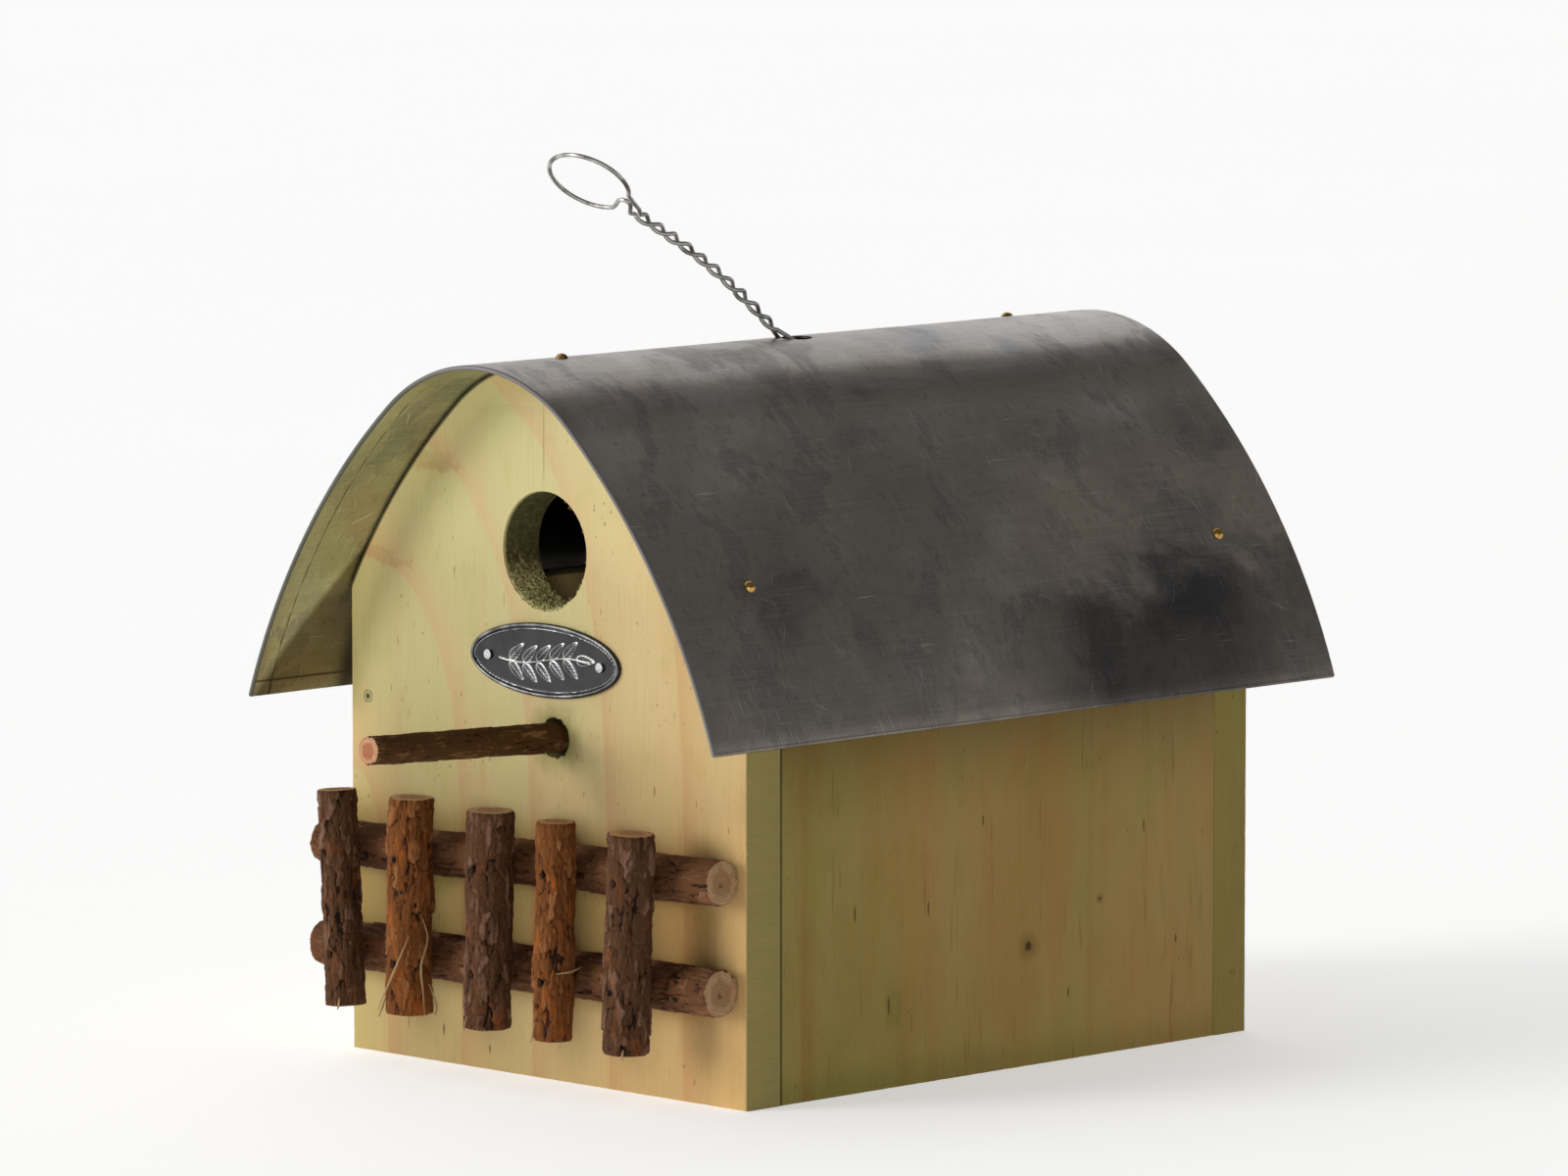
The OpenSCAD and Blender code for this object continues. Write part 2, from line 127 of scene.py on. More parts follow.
def sun(name, direction, strength, spread, colour=(1, 1, 1)):
    """Even light from a direction, soft as a light that spreads over an angle in degrees."""
    data = bpy.data.lights.new(name, "SUN")
    data.energy = strength
    data.angle = math.radians(spread)
    data.color = colour
    light = new_object(name, data)
    light.rotation_mode = "QUATERNION"
    light.rotation_quaternion = Vector(direction).to_track_quat("Z", "Y")


# ---- shader helpers


def sign(operation):
    """A method of Value that adds a node for one sum."""
    return lambda *values: values[0].shader.math(operation, *values)


class Value:
    """An output of a shader's node, for sums with the usual signs."""

    def __init__(self, shader, socket):
        self.shader, self.socket = shader, socket

    __add__, __sub__, __mul__ = sign("ADD"), sign("SUBTRACT"), sign("MULTIPLY")
    __truediv__, __pow__, __abs__ = sign("DIVIDE"), sign("POWER"), sign("ABSOLUTE")

    def __rsub__(self, other):
        return self.shader.math("SUBTRACT", other, self)

    def band(self, low, high, end=1.0, start=0.0):
        """Maps low..high smoothly to start..end, held at the ends."""
        return self.shader.node("MapRange", {
            "Value": self, "From Min": low, "From Max": high, "To Min": start, "To Max": end,
        }, interpolation_type="SMOOTHSTEP")


class Shader:
    """A material or world with its colour and height so far, and short calls for its nodes."""

    def __init__(self, owner, coordinates="Object"):
        self.owner = owner
        owner.use_nodes = True
        self.tree = owner.node_tree
        self.place = self.node("TexCoord", {}, coordinates)
        split = self.add("SeparateXYZ", {0: self.place})
        self.x, self.y, self.z = [Value(self, output) for output in split.outputs]
        self.colour, self.height = None, None

    def put(self, socket, value):
        if isinstance(value, Value):
            self.tree.links.new(value.socket, socket)
        elif value is not None:
            if socket.type == "RGBA" and len(value) == 3:
                value = (*value, 1)
            socket.default_value = value

    def add(self, kind, inputs, **settings):
        made = self.tree.nodes.new("ShaderNode" + kind)
        for key, value in settings.items():
            setattr(made, key, value)
        for key, value in inputs.items():
            self.put(made.inputs[key], value)
        return made

    def node(self, kind, inputs, output=0, **settings):
        """One output of a new node."""
        return Value(self, self.add(kind, inputs, **settings).outputs[output])

    def made(self, **inputs):
        """The finished material, with its colour and other inputs of its shader set."""
        for name, value in {"Base_Color": self.colour, **inputs}.items():
            socket = self.tree.nodes["Principled BSDF"].inputs[name.replace("_", " ")]
            self.put(socket, value)
        return self.owner

    def math(self, operation, a, b=0.0):
        return self.node("Math", {0: a, 1: b}, operation=operation)

    def stretch(self, scale, place=None, shift=(0, 0, 0)):
        inputs = {"Vector": place or self.place, "Scale": scale, "Location": shift}
        return self.node("Mapping", inputs)

    def noise(self, scale, detail, rough=0.5, bend=0.0, place=None, shift=(0, 0, 0)):
        """Noise with its own scale along each axis, or the same one along all."""
        if not isinstance(scale, tuple):
            scale = (scale, scale, scale)
        return self.node("TexNoise", {
            "Vector": self.stretch(scale, place, shift), "Scale": 1.0, "Detail": detail,
            "Roughness": rough, "Distortion": bend,
        })

    def cells(self, scale):
        """Distance from the nearest of many scattered points."""
        return self.node("TexVoronoi", {"Vector": self.stretch(scale), "Scale": 1.0}, "Distance")

    def ramp(self, value, *stops):
        """A colour for each value, between stops of (value, colour)."""
        made = self.add("ValToRGB", {0: value})
        elements = made.color_ramp.elements
        while len(elements) < len(stops):
            elements.new(1)
        for element, (position, colour) in zip(elements, stops):
            element.position = position
            element.color = (*colour, 1)
        return Value(self, made.outputs[0])

    def mix(self, share, a, b, mode="MIX"):
        return self.node("Mix", {0: share, 6: a, 7: b}, 2, data_type="RGBA", blend_type=mode)

    def paint(self, share, colour):
        """Lays a colour over the one so far."""
        self.colour = self.mix(share, self.colour, colour)

    def tint(self, share, factors):
        """Multiplies the colour so far."""
        self.colour = self.mix(share, self.colour, factors, "MULTIPLY")

    def spot(self, axes, centre, radius):
        """Distance from a place on a face, in radii."""
        first, second = [getattr(self, axis) - getattr(centre, axis) for axis in axes]
        return distance(first, second) / radius

    def mark(self, axes, centre, size, ragged=0.0):
        """1 in an oval mark on a face, 0 outside it. Centre and size in millimetres."""
        first, second = [
            getattr(self, axis) * (1 / (half * MM)) - middle / half
            for axis, middle, half in zip(axes, centre, size)
        ]
        far = first * first + second * second
        if ragged:
            far = self.noise((700, 700, 350), 3) * ragged + far
        return far.band(0.4 + ragged * 0.5, 1.4 + ragged * 0.5, 0.0, 1.0)

    def bump(self, height, depth, strength=1.0, under=None):
        inputs = {"Height": height, "Distance": depth, "Strength": strength, "Normal": under}
        return self.node("Bump", inputs)


def distance(first, second):
    """How far two offsets at right angles lead."""
    return (first ** 2 + second ** 2) ** 0.5


def new_shader(name):
    return Shader(bpy.data.materials.new(name))


def make_light():
    """A low key light from the front left, a weak one beside the camera, and surroundings that
    are white on the left and below, and dark on the right.
    """
    sun("key_light", (-0.5, -0.85, 0.24), 1.7, 28, (1, 0.985, 0.95))
    sun("fill_light", (0.7, -0.7, 0.13), 0.26, 6)
    world = bpy.data.worlds.new("studio")
    bpy.context.scene.world = world
    s = Shader(world, "Generated")
    left, low = s.x.band(-0.42, -0.08, 0.13, 0.85), s.z.band(0.02, 0.12, 0.0, 0.85)
    s.put(s.tree.nodes["Background"].inputs["Color"], s.math("MAXIMUM", left, low))


# ---- wood

PALE_GREEN = (0.545, 0.505, 0.235)
PALE_CREAM = (0.64, 0.54, 0.29)
PEACH = (0.6, 0.4, 0.205)
OLIVE = (0.22, 0.205, 0.06)
PORE = (0.15, 0.105, 0.03)
GAP_SHADOW = (0.05, 0.04, 0.012)
JOINT_SHADE = (0.42, 0.42, 0.34)
# Share of late wood at each share of a growth layer
LATE_WOOD = ((0.0, 1), (0.07, 0.8), (0.2, 0.34), (0.45, 0.06), (0.94, 0), (1.0, 0.2))


def board_material(name, seed, rings, tone=(1, 1, 1), extras=None, ringed=0.7):
    """Pale treated softwood with its grain along Z."""
    s = new_shader(name)

    def grain(scale, detail, rough=0.5):
        return s.noise(scale, detail, rough, shift=(seed * 0.37, seed * 0.73, seed * 0.19))

    ring = rings(s, (grain((14, 14, 3), 2) - 0.5) * 0.5)
    wash = grain((11, 11, 3.5), 3, 0.6)
    streak = grain((160, 160, 3), 4, 0.6)
    fibre = grain((1500, 1500, 45), 2)
    late = s.ramp(ring, *[(at, (share, share, share)) for at, share in LATE_WOOD])
    s.colour = s.mix(wash.band(0.36, 0.64), PALE_GREEN, PALE_CREAM)
    s.paint(late * ringed, PEACH)
    s.paint(streak.band(0.5, 0.78, 0.42 * ringed), PEACH)
    s.paint(streak.band(0.5, 0.26, 0.34), PALE_GREEN)
    s.paint(fibre.band(0.35, 0.7, 0.09), (0.3, 0.24, 0.1))
    s.tint(grain((95, 95, 60), 4, 0.65).band(0.5, 0.68, 0.5), (0.9, 0.9, 0.8))
    sparse = grain((60, 60, 20), 1).band(0.5, 0.6, 0.55, 0.1)
    dash = grain((1000, 1000, 230), 1).band(0.71, 0.77) * sparse
    s.paint(dash, PORE)
    s.height = fibre + streak * 0.6 - dash
    if extras:
        extras(s)
    s.tint(1.0, tone)
    return s.made(Roughness=streak.band(0.3, 0.7, 0.74, 0.62), Specular_IOR_Level=0.22,
                  Normal=s.bump(s.height, 0.00012, 0.55))


# Arch of the front board's innermost growth layer, and the gap to the next as a share of it
RING_FOOT_X = -80 * MM
RING_W = 45 * MM
RING_H = 147 * MM
RING_GAP = 0.7


def front_rings(s, wobble):
    """Growth layers that show as nested arches, rising from the lower left."""
    rise = (s.math("MAXIMUM", s.z, 0.0) / RING_H) ** 4.5
    reach = ((s.x - RING_FOOT_X) / RING_W) ** 2 + rise
    return s.math("FRACT", (reach ** 0.5 - 1.0) / RING_GAP + wobble + 4.0)


def side_rings(centre, pitch, tilt=0.06):
    """Growth layers that show as nearly upright stripes."""
    def rings(s, wobble):
        across = s.y + s.x * 0.8 + s.z * tilt
        return s.math("FRACT", (across - centre) / pitch + wobble + 20.0)
    return rings


def knot(s, axes, place, radius):
    """A small knot with a dark heart and a stained halo. Place and radius in millimetres."""
    ragged = s.spot(axes, Vector(place) * MM, radius * MM) + s.noise((500, 500, 160), 2)
    s.paint(ragged.band(1.2, 3.4, 0, 0.55), (0.3, 0.19, 0.06))
    s.paint(ragged.band(0.9, 1.5, 0, 0.92), (0.075, 0.045, 0.015))
    s.height = s.height - ragged.band(0.9, 1.6, 0, 1.5)


def arch_depth(s):
    """Distance inwards from the arched edge of a gable board."""
    crown = CROWN_R - GABLE_INSET - distance(s.x, s.z - CROWN_Z)
    flank = FLANK_R - GABLE_INSET - distance(abs(s.x) - FLANK_X, s.z - FLANK_Z)
    high = s.math("GREATER_THAN", s.z, CROWN_Z + CROWN_R * math.cos(CROWN_ANGLE))
    return high * (crown - flank) + flank


def flecked(s, dense=0.0):
    """Small brown flecks, sparse but where dense is 1."""
    some = s.math("MAXIMUM", s.noise((45, 45, 30), 1).band(0.56, 0.66), dense)
    s.paint(s.cells((330, 330, 260)).band(0.17, 0.09, 0.62) * some, (0.2, 0.115, 0.035))


def back_extras(s):
    """Two knots, flecks and green stains of the back board."""
    mottle = s.noise((17, 17, 8), 4, 0.6, shift=(0.7, 0.2, 0.5))
    s.tint(mottle.band(0.46, 0.64, 0.6), (0.84, 0.9, 0.74))
    flecked(s)
    knot(s, "xz", (-31, 0, 62), 2.6)
    knot(s, "xz", (44, 0, 118), 1.6)
    s.paint(arch_depth(s).band(1.3 * MM, 0.6 * MM, 0.6), GAP_SHADOW)


# Places and half sizes in millimetres, and for marks how dark they are
FRONT_STAINS = (
    ((-50, 176), (15, 3.4)), ((-44, 174.5), (8, 1.6)), ((-71, 147.5), (6, 2.4)),
    ((-63, 145), (7, 1.3)),
)
FRONT_MARKS = (
    ((-0.3, 184), (0.35, 13), 0.32), ((-43, 9.8), (0.5, 1.8), 0.7), ((-23.5, 6.2), (0.45, 1.4), 0.7),
    ((24.8, 163), (0.5, 0.6), 0.45), ((21.2, 159), (0.35, 0.4), 0.4), ((20.5, 168), (0.4, 0.6), 0.3),
    ((45, 88), (0.4, 1.5), 0.5), ((-60, 92), (0.35, 1.2), 0.5), ((-17, 138), (0.3, 2.4), 0.35),
)
SIDE_MARKS = (
    ((-60.7, 52), (0.45, 2.6)), ((-30.6, 50.6), (0.4, 2.2)), ((-46.9, 24), (0.5, 2.8)),
    ((-8, 74), (0.35, 1.8)), ((28, 20), (0.4, 1.6)), ((60, 66), (0.35, 2.2)), ((74, 31), (0.4, 1.5)),
)


def front_tones(s):
    """Broad tones of the front board: darker at its foot, painted shade behind the fence, and painted
    light at its far left and beside the rail ends.
    """
    low = s.z.band(0.125, 0.055)
    fence = s.z.band(0.018, 0.03) * s.z.band(0.08, 0.068) * s.x.band(0.074, 0.062)
    s.tint(low, (0.84, 0.75, 0.64))
    s.tint(low * s.x.band(0.045, -0.035), (0.84, 0.84, 0.8))
    # Painted light at the far left, which offsets the shadow of the left eave
    s.tint(s.x.band(-0.06, -0.08), (1.26, 1.25, 1.2))
    s.tint(s.z.band(0.165, 0.135), (0.88, 0.86, 0.85))
    s.tint(s.x.band(-0.005, 0.06), (1.05, 0.95, 0.86))
    # Painted shade and warm bounced light from the fence, on the board behind the rails
    s.tint(fence, (0.76, 0.68, 0.52))
    # Painted light beside the rail ends, which offsets their shadow on the board
    s.tint(s.x.band(0.064, 0.074) * s.z.band(0.088, 0.07), (1.2, 1.18, 1.14))
    s.tint(s.mark("xz", (-48, 55), (11, 6), 2.0), (0.8, 0.88, 0.62))


def front_marks(s):
    """Resin stains, damp round the perch, the pivot nail's stain, flecks and short cracks."""
    for place, size in FRONT_STAINS:
        s.paint(s.mark("xz", place, size, 3.0) * 0.28, (0.4, 0.22, 0.085))
    damp = s.spot("xz", PERCH, PERCH_HOLE_R) + s.noise((330, 330, 260), 3)
    s.paint(damp.band(1.35, 2.9, 0, 0.75), OLIVE)
    s.paint(damp.band(1.3, 1.7, 0, 0.85), (0.03, 0.03, 0.006))
    nail = s.spot("xz", PIVOT, 1.6 * MM) + s.noise((900, 900, 700), 2)
    s.paint(nail.band(1.2, 1.9, 0, 0.8), (0.11, 0.085, 0.02))
    flecked(s, s.mark("xz", (22, 166), (7, 7)))
    for place, size, share in FRONT_MARKS:
        s.paint(s.mark("xz", place, size, 0.5) * share, (0.1, 0.065, 0.02))


def front_arch(s):
    """Painted light along the left arch, which offsets the shadow of the roof's overhang, and the
    painted shadow of the gap under the sheet.
    """
    inwards = arch_depth(s)
    left = s.x.band(0.012, -0.015)
    # Painted light inside the left arch, where the overhang of the roof casts its shadow
    s.tint(left * inwards.band(30 * MM, 3 * MM), (1.2, 1.16, 1.14))
    s.tint(left * inwards.band(15 * MM, 1 * MM), (1.3, 1.27, 1.24))
    s.paint(left * inwards.band(1.3 * MM, 0.6 * MM, 0.85), GAP_SHADOW)


def entrance_bore(s):
    """Crumbly end grain in the entrance hole, with painted shade that makes it near black at its
    sides, and pale at its foot.
    """
    inside = s.spot("xz", ENTRANCE, ENTRANCE_R).band(1.012, 0.998)
    inside = inside * s.y.band(FRONT_Y, FRONT_Y + 1 * MM)
    crumb = s.noise((1450, 1450, 1150), 3, 0.7)
    under = s.z.band(ENTRANCE.z - 3 * MM, ENTRANCE.z - 12 * MM, 1.0, 0.02)
    # Painted shade: the bore is near black, apart from the pale crumbs at its foot
    grain = s.mix(crumb.band(0.44, 0.54) * under, (0.034, 0.031, 0.002), (0.98, 0.95, 0.44))
    grain = s.mix(crumb.band(0.43, 0.32) * under, grain, (0.028, 0.025, 0.004))
    s.paint(inside * 0.92, grain)
    s.height = s.height + inside * under * crumb * 5.0


def front_edge(s):
    """The face of the front board inside the box, and its sawn right edge."""
    back = FRONT_Y + BOARD_T
    s.tint(s.y.band(back - 0.5 * MM, back), (0.6, 0.53, 0.42))
    edge = s.x.band(HALF_W - 0.7 * MM, HALF_W - 0.2 * MM)
    edge = edge * s.y.band(FRONT_Y + 0.15 * MM, FRONT_Y + 0.6 * MM)
    edge = edge * s.x.band(HALF_W + 0.12 * MM, HALF_W + 0.04 * MM)
    sawn = s.noise((40, 60, 2200), 3).band(0.35, 0.7)
    s.paint(edge, s.mix(sawn, (0.285, 0.23, 0.07), (0.315, 0.25, 0.084)))
    s.tint(s.y.band(back - 0.5 * MM, back - 0.1 * MM) * edge, JOINT_SHADE)


def front_extras(s):
    for layer in (front_tones, front_marks, front_arch, entrance_bore, front_edge):
        layer(s)


def side_extras(s):
    """Knots, dashes and stains of the right side panel, with painted shade under the eave."""
    # Painted shade of the eave over the top of the panel
    s.tint(s.z.band(0.07, 0.125), (0.42, 0.4, 0.3))
    s.tint((s.z * 0.55 + s.y).band(0.02, -0.075) * 0.9, (0.8, 0.95, 0.82))
    mottle = s.noise((20, 20, 9), 4, 0.6, shift=(0.3, 0.1, 0.2))
    s.tint(mottle.band(0.42, 0.64, 0.7), (0.95, 0.8, 0.66))
    s.tint(mottle.band(0.5, 0.36, 0.6), (0.82, 0.92, 0.72))
    brown = s.noise((46, 46, 1.6), 3, 0.6, shift=(0.3, 0.1, 0.2))
    s.tint(brown.band(0.52, 0.68, 0.7), (0.92, 0.74, 0.6))
    s.tint(s.noise((420, 420, 34), 2, 0.6).band(0.62, 0.74, 0.5), (0.62, 0.5, 0.36))
    s.tint(s.mark("yz", (-45, 23), (4, 6), 2.0) * 0.35, (0.52, 0.68, 0.34))
    for place, size in SIDE_MARKS:
        s.paint(s.mark("yz", place, size, 0.5) * 0.7, (0.085, 0.06, 0.018))
    knot(s, "yz", (0, 10.9, 35.1), 2.0)
    knot(s, "yz", (0, 41.2, 46.1), 0.8)
    s.tint(s.z.band(0.012, 0.0, 0.6), (0.62, 0.7, 0.48))
    joint = FRONT_Y + BOARD_T
    s.tint(s.y.band(joint + 0.7 * MM, joint + 0.2 * MM), JOINT_SHADE)


def left_extras(s):
    """Knots and flecks of the left panel, and painted light on its face inside the box, which shows
    through the entrance hole.
    """
    flecked(s)
    knot(s, "yz", (0, -28, 84), 1.9)
    knot(s, "yz", (0, 52, 30), 2.4)
    inner = BOARD_T - HALF_W
    # Painted light on the inner face, standing for light that comes in through the entrance hole
    s.tint(s.x.band(inner - 0.8 * MM, inner - 0.2 * MM), (1.65, 1.3, 1.1))


# ---- zinc

FOLD_SHADE = (0.1, 0.095, 0.07)
# The sheet is laid flat as if it were bent round one line along the house
BEND_Z = 95 * MM
BEND_R = 85 * MM
# Directions of the fine scratches: turn in radians, scale, and the noise that counts as one
SCRATCHES = ((0.25, 420, 0.78), (-0.55, 330, 0.79), (1.1, 260, 0.8), (0.0, 640, 0.74),
             (1.57, 300, 0.78))


def zinc_material(name, tones):
    """Dull zinc sheet with smudges, fine scratches down the slope and bright specks."""
    s = new_shader(name)
    slope = s.math("ARCTAN2", s.x, s.z - BEND_Z)
    flat = s.node("CombineXYZ", {0: s.y, 1: slope * BEND_R})

    def sheet(along, down, detail, rough=0.5, bend=0.0, turn=0.0, shift=(0, 0, 0)):
        """Noise on the sheet laid flat, with scales along the ridge and down the slope."""
        place = s.node("VectorRotate", {"Vector": flat, "Angle": turn}) if turn else flat
        return s.noise((along, down, 1), detail, rough, bend, place, shift)

    cloud = sheet(13, 17, 6, 0.6, 0.3)
    smear = sheet(42, 30, 7, 0.66, 0.4)
    grain = sheet(2600, 700, 2)
    hairs = sheet(5200, 95, 1, turn=0.2).band(0.66, 0.72) * smear.band(0.44, 0.56, 0.8, 0.15)
    bright = s.math("MAXIMUM", hairs, sheet(900, 700, 1).band(0.77, 0.82) * 0.8)
    for turn, scale, limit in SCRATCHES:
        lines = sheet(scale * 6, scale * 0.22, 0, turn=turn).band(limit, limit + 0.05)
        lines = lines * sheet(60, 60, 1, turn=turn).band(0.45, 0.65)
        bright = s.math("MAXIMUM", bright, lines)
    s.colour = s.ramp(cloud, (0.36, (0.245, 0.235, 0.228)), (0.43, (0.375, 0.332, 0.29)),
                      (0.55, (0.415, 0.366, 0.316)), (0.62, (0.5, 0.456, 0.412)))
    s.paint(smear.band(0.53, 0.58, 0.42), (0.17, 0.164, 0.162))
    s.paint(smear.band(0.43, 0.34, 0.24), (0.6, 0.54, 0.48))
    s.paint(sheet(420, 330, 4, 0.7).band(0.52, 0.66, 0.35), (0.2, 0.18, 0.16))
    s.paint(sheet(30, 2300, 3, 0.6).band(0.45, 0.75, 0.3), (0.62, 0.58, 0.54))
    s.paint(grain.band(0.4, 0.72, 0.25), (0.46, 0.44, 0.42))
    s.paint(bright * 0.75, (0.78, 0.75, 0.72))
    s.slope, s.uneven, s.sheet = slope, smear - 0.5, sheet
    tones(s)
    cut = s.y.band(roof_low.y + 0.85 * MM, roof_low.y + 0.65 * MM)
    s.paint(cut, s.mix(s.x.band(0.0, -0.03), (0.25, 0.235, 0.235), (0.17, 0.175, 0.145)))
    rough = cloud.band(0.3, 0.7, 0.46, 0.34) + smear.band(0.4, 0.7, 0.12) + cut * 0.3
    bump = s.bump(grain + bright * 0.8, 0.00003, 0.5)
    bump = s.bump(cloud, 0.0012, 0.35, bump)
    bump = s.bump(sheet(9, 34, 3, 0.6, 0.7), 0.0022, 0.16, bump)
    return s.made(Metallic=1.0, Roughness=rough, Normal=bump)


def zinc_above(s):
    """A dark smudge at the lower rear, painted shade over the left flank, and a painted reflection
    along the ridge that ends sharply over a darker band.
    """
    slope, along = s.slope, s.y + s.uneven * 0.06
    smoke = s.sheet(19, 26, 5, 0.62, 1.2, shift=(0.31, 0.12, 0))
    low = smoke * 0.75 + s.y * 0.2 + slope
    rear = along.band(-0.015, 0.04) * s.y.band(0.115, 0.08, 1, 0.45) * low.band(1.39, 1.58)
    s.tint(rear, (0.43, 0.43, 0.445))
    far = along.band(0.0, 0.05) * low.band(1.46, 1.34) * slope.band(0.55, 0.8)
    s.tint(far, (1.4, 1.36, 1.3))
    # Painted shade over the left flank, which tones down the key light there
    s.tint(slope.band(-0.1, -0.55), (0.4, 0.4, 0.42))
    step = s.uneven * 0.05 + slope
    # Painted reflection: a pale band along the crown, bluish near the ridge, ending sharply over a
    # darker band
    s.tint(along.band(0.0, 0.1) * step.band(0.32, 0.22), (1.3, 1.32, 1.36))
    s.tint(step.band(0.275, 0.2), (1.02, 1.05, 1.1))
    s.tint(step.band(0.205, 0.28) * slope.band(0.46, 0.29), (0.58, 0.57, 0.57))
    s.tint(s.z.band(roof_low.z + 1.5 * MM, roof_low.z + 0.9 * MM), (0.55, 0.54, 0.53))


def zinc_below(s):
    """Painted olive reflection of the boards, the lines of the hems, a wedge of painted shadow, and
    painted shade that makes the sheet near black inside the box.
    """
    # Painted reflection of the pale green boards on the underside
    s.tint(1.0, (1.31, 1.48, 1.3))
    shaky = s.noise(200, 2) * (1.6 * MM) + s.y
    seam = abs(shaky - (roof_low.y + END_HEM + 0.8 * MM))
    s.paint(seam.band(0.65 * MM, 0.25 * MM, 0.85), FOLD_SHADE)
    turn = s.math("ARCTAN2", abs(s.x) - FLANK_X, s.z - FLANK_Z)
    fold = abs(turn - FOLD_ANGLE) * FLANK_R
    s.paint(fold.band(0.5 * MM, 0.2 * MM, 0.8), FOLD_SHADE)
    # Painted shadow: a wedge of shade low on the underside of the front overhang
    s.tint((s.y * -1.7 + s.z).band(0.331, 0.324), (0.42, 0.36, 0.28))
    # Painted shade: the underside is near black inside the box
    s.paint(s.y.band(FRONT_Y + 2 * MM, FRONT_Y + 10 * MM), (0.05, 0.045, 0.04))


# ---- other materials


def metal_material(name, colour, dark, rough):
    """Small metal parts: fine pitting, and darker patches."""
    s = new_shader(name)
    pits = s.noise(1400, 3)
    patch = s.noise(200, 3)
    s.colour = s.mix(patch.band(0.45, 0.7), colour, dark)
    s.paint(pits.band(0.35, 0.75, 0.35), dark)
    return s.made(Metallic=1.0, Roughness=patch.band(0.3, 0.7, rough + 0.18, rough),
                  Normal=s.bump(pits, 0.00003, 0.6))


def stained_nail_material():
    """Nail heads that were stained with the board, dark in the middle."""
    s = new_shader("stained_nails")
    uneven = s.noise(1800, 3)
    out = uneven * (0.5 * MM) + s.spot("xz", PIVOT, 1.0)
    s.colour = s.mix(out.band(0.9 * MM, 1.25 * MM), (0.085, 0.062, 0.018), (0.44, 0.4, 0.17))
    return s.made(Roughness=uneven.band(0.3, 0.7, 0.75, 0.55), Specular_IOR_Level=0.3,
                  Normal=s.bump(uneven, 0.00006, 0.6))


def relief_of(s):
    """The relief that a mesh keeps for each of its points, from 0 to 1."""
    return s.node("Attribute", {}, "Fac", attribute_name="relief")


def bark_material(name, skin, ridge, deep, inner, patches):
    """Flaky bark: pale ridges that are partly painted highlight, near-black fissures that are partly
    painted shade, and patches where the inner bark shows.
    """
    s = new_shader(name)
    long = s.noise((900, 900, 160), 4, 0.65)
    patch = s.noise((210, 210, 70), 3, 0.6)
    fine = s.noise((2600, 2600, 700), 3, 0.7)
    level = relief_of(s) + (long - 0.5) * 1.1
    # Colour by relief: the ridge tone is partly painted highlight, and the deep tone partly painted
    # shade in the fissures and dents
    s.colour = s.ramp(level, (0.06, deep), (0.34, skin), (0.6, skin), (0.92, ridge))
    s.paint(patch.band(patches, patches + 0.16, 0.85), inner)
    s.paint(level.band(0.26, 0.04, 0.85), deep)
    s.paint(fine.band(0.56, 0.74, 0.45), ridge)
    s.paint(fine.band(0.42, 0.26, 0.55), deep)
    return s.made(Roughness=fine.band(0.3, 0.7, 0.92, 0.72), Specular_IOR_Level=0.12,
                  Normal=s.bump(long + fine * 0.5, 0.00045, 0.9))


def end_grain_material(name, pale, ring, heart):
    """Sawn end of a stick: pale outer ring, crumbly middle, growth rings and a dark pith."""
    s = new_shader(name)
    share = relief_of(s)
    warp = s.noise(260, 3)
    rings = s.math("SINE", distance(s.x, s.y) * 6800 + warp * 7)
    fuzz = s.noise(2300, 3, 0.7)
    reach = (warp - 0.5) * 0.35 + share
    s.colour = s.mix(reach.band(0.7, 0.52, 0.75), pale, ring)
    s.paint(rings.band(-0.4, 0.9, 0.42), ring)
    s.paint(s.noise(420, 2).band(0.48, 0.72, 0.5), ring)
    s.paint(fuzz.band(0.5, 0.75, 0.55), heart)
    s.paint(fuzz.band(0.42, 0.25, 0.4), pale)
    s.paint(reach.band(0.2, 0.08, 0.85), heart)
    s.paint(share.band(0.93, 0.99, 0.9), (0.03, 0.014, 0.006))
    return s.made(Roughness=0.86, Specular_IOR_Level=0.15,
                  Normal=s.bump(fuzz + rings * 0.15, 0.0004, 0.8))


def badge_material():
    """Dark pewter, rubbed bright where its relief stands out."""
    s = new_shader("badge_pewter")
    pits = s.noise(1300, 3)
    worn = s.noise(160, 3)
    level = relief_of(s) + (worn - 0.5) * 0.8
    s.colour = s.mix(level.band(0.2, 1.0), (0.04, 0.041, 0.042), (0.55, 0.55, 0.55))
    s.paint(pits.band(0.45, 0.75, 0.4), (0.05, 0.05, 0.05))
    return s.made(Metallic=1.0, Roughness=worn.band(0.3, 0.7, 0.44, 0.28),
                  Normal=s.bump(pits, 0.00005, 0.7))


def floor_material():
    """White studio floor that shines a little, as the surroundings do."""
    s = new_shader("studio_floor")
    s.colour = s.mix(s.noise(3, 2), (0.86, 0.86, 0.86), (0.88, 0.88, 0.88))
    return s.made(Roughness=0.9, Specular_IOR_Level=0.1, Emission_Color=(1, 1, 1),
                  Emission_Strength=0.5)


# ---- mesh helpers


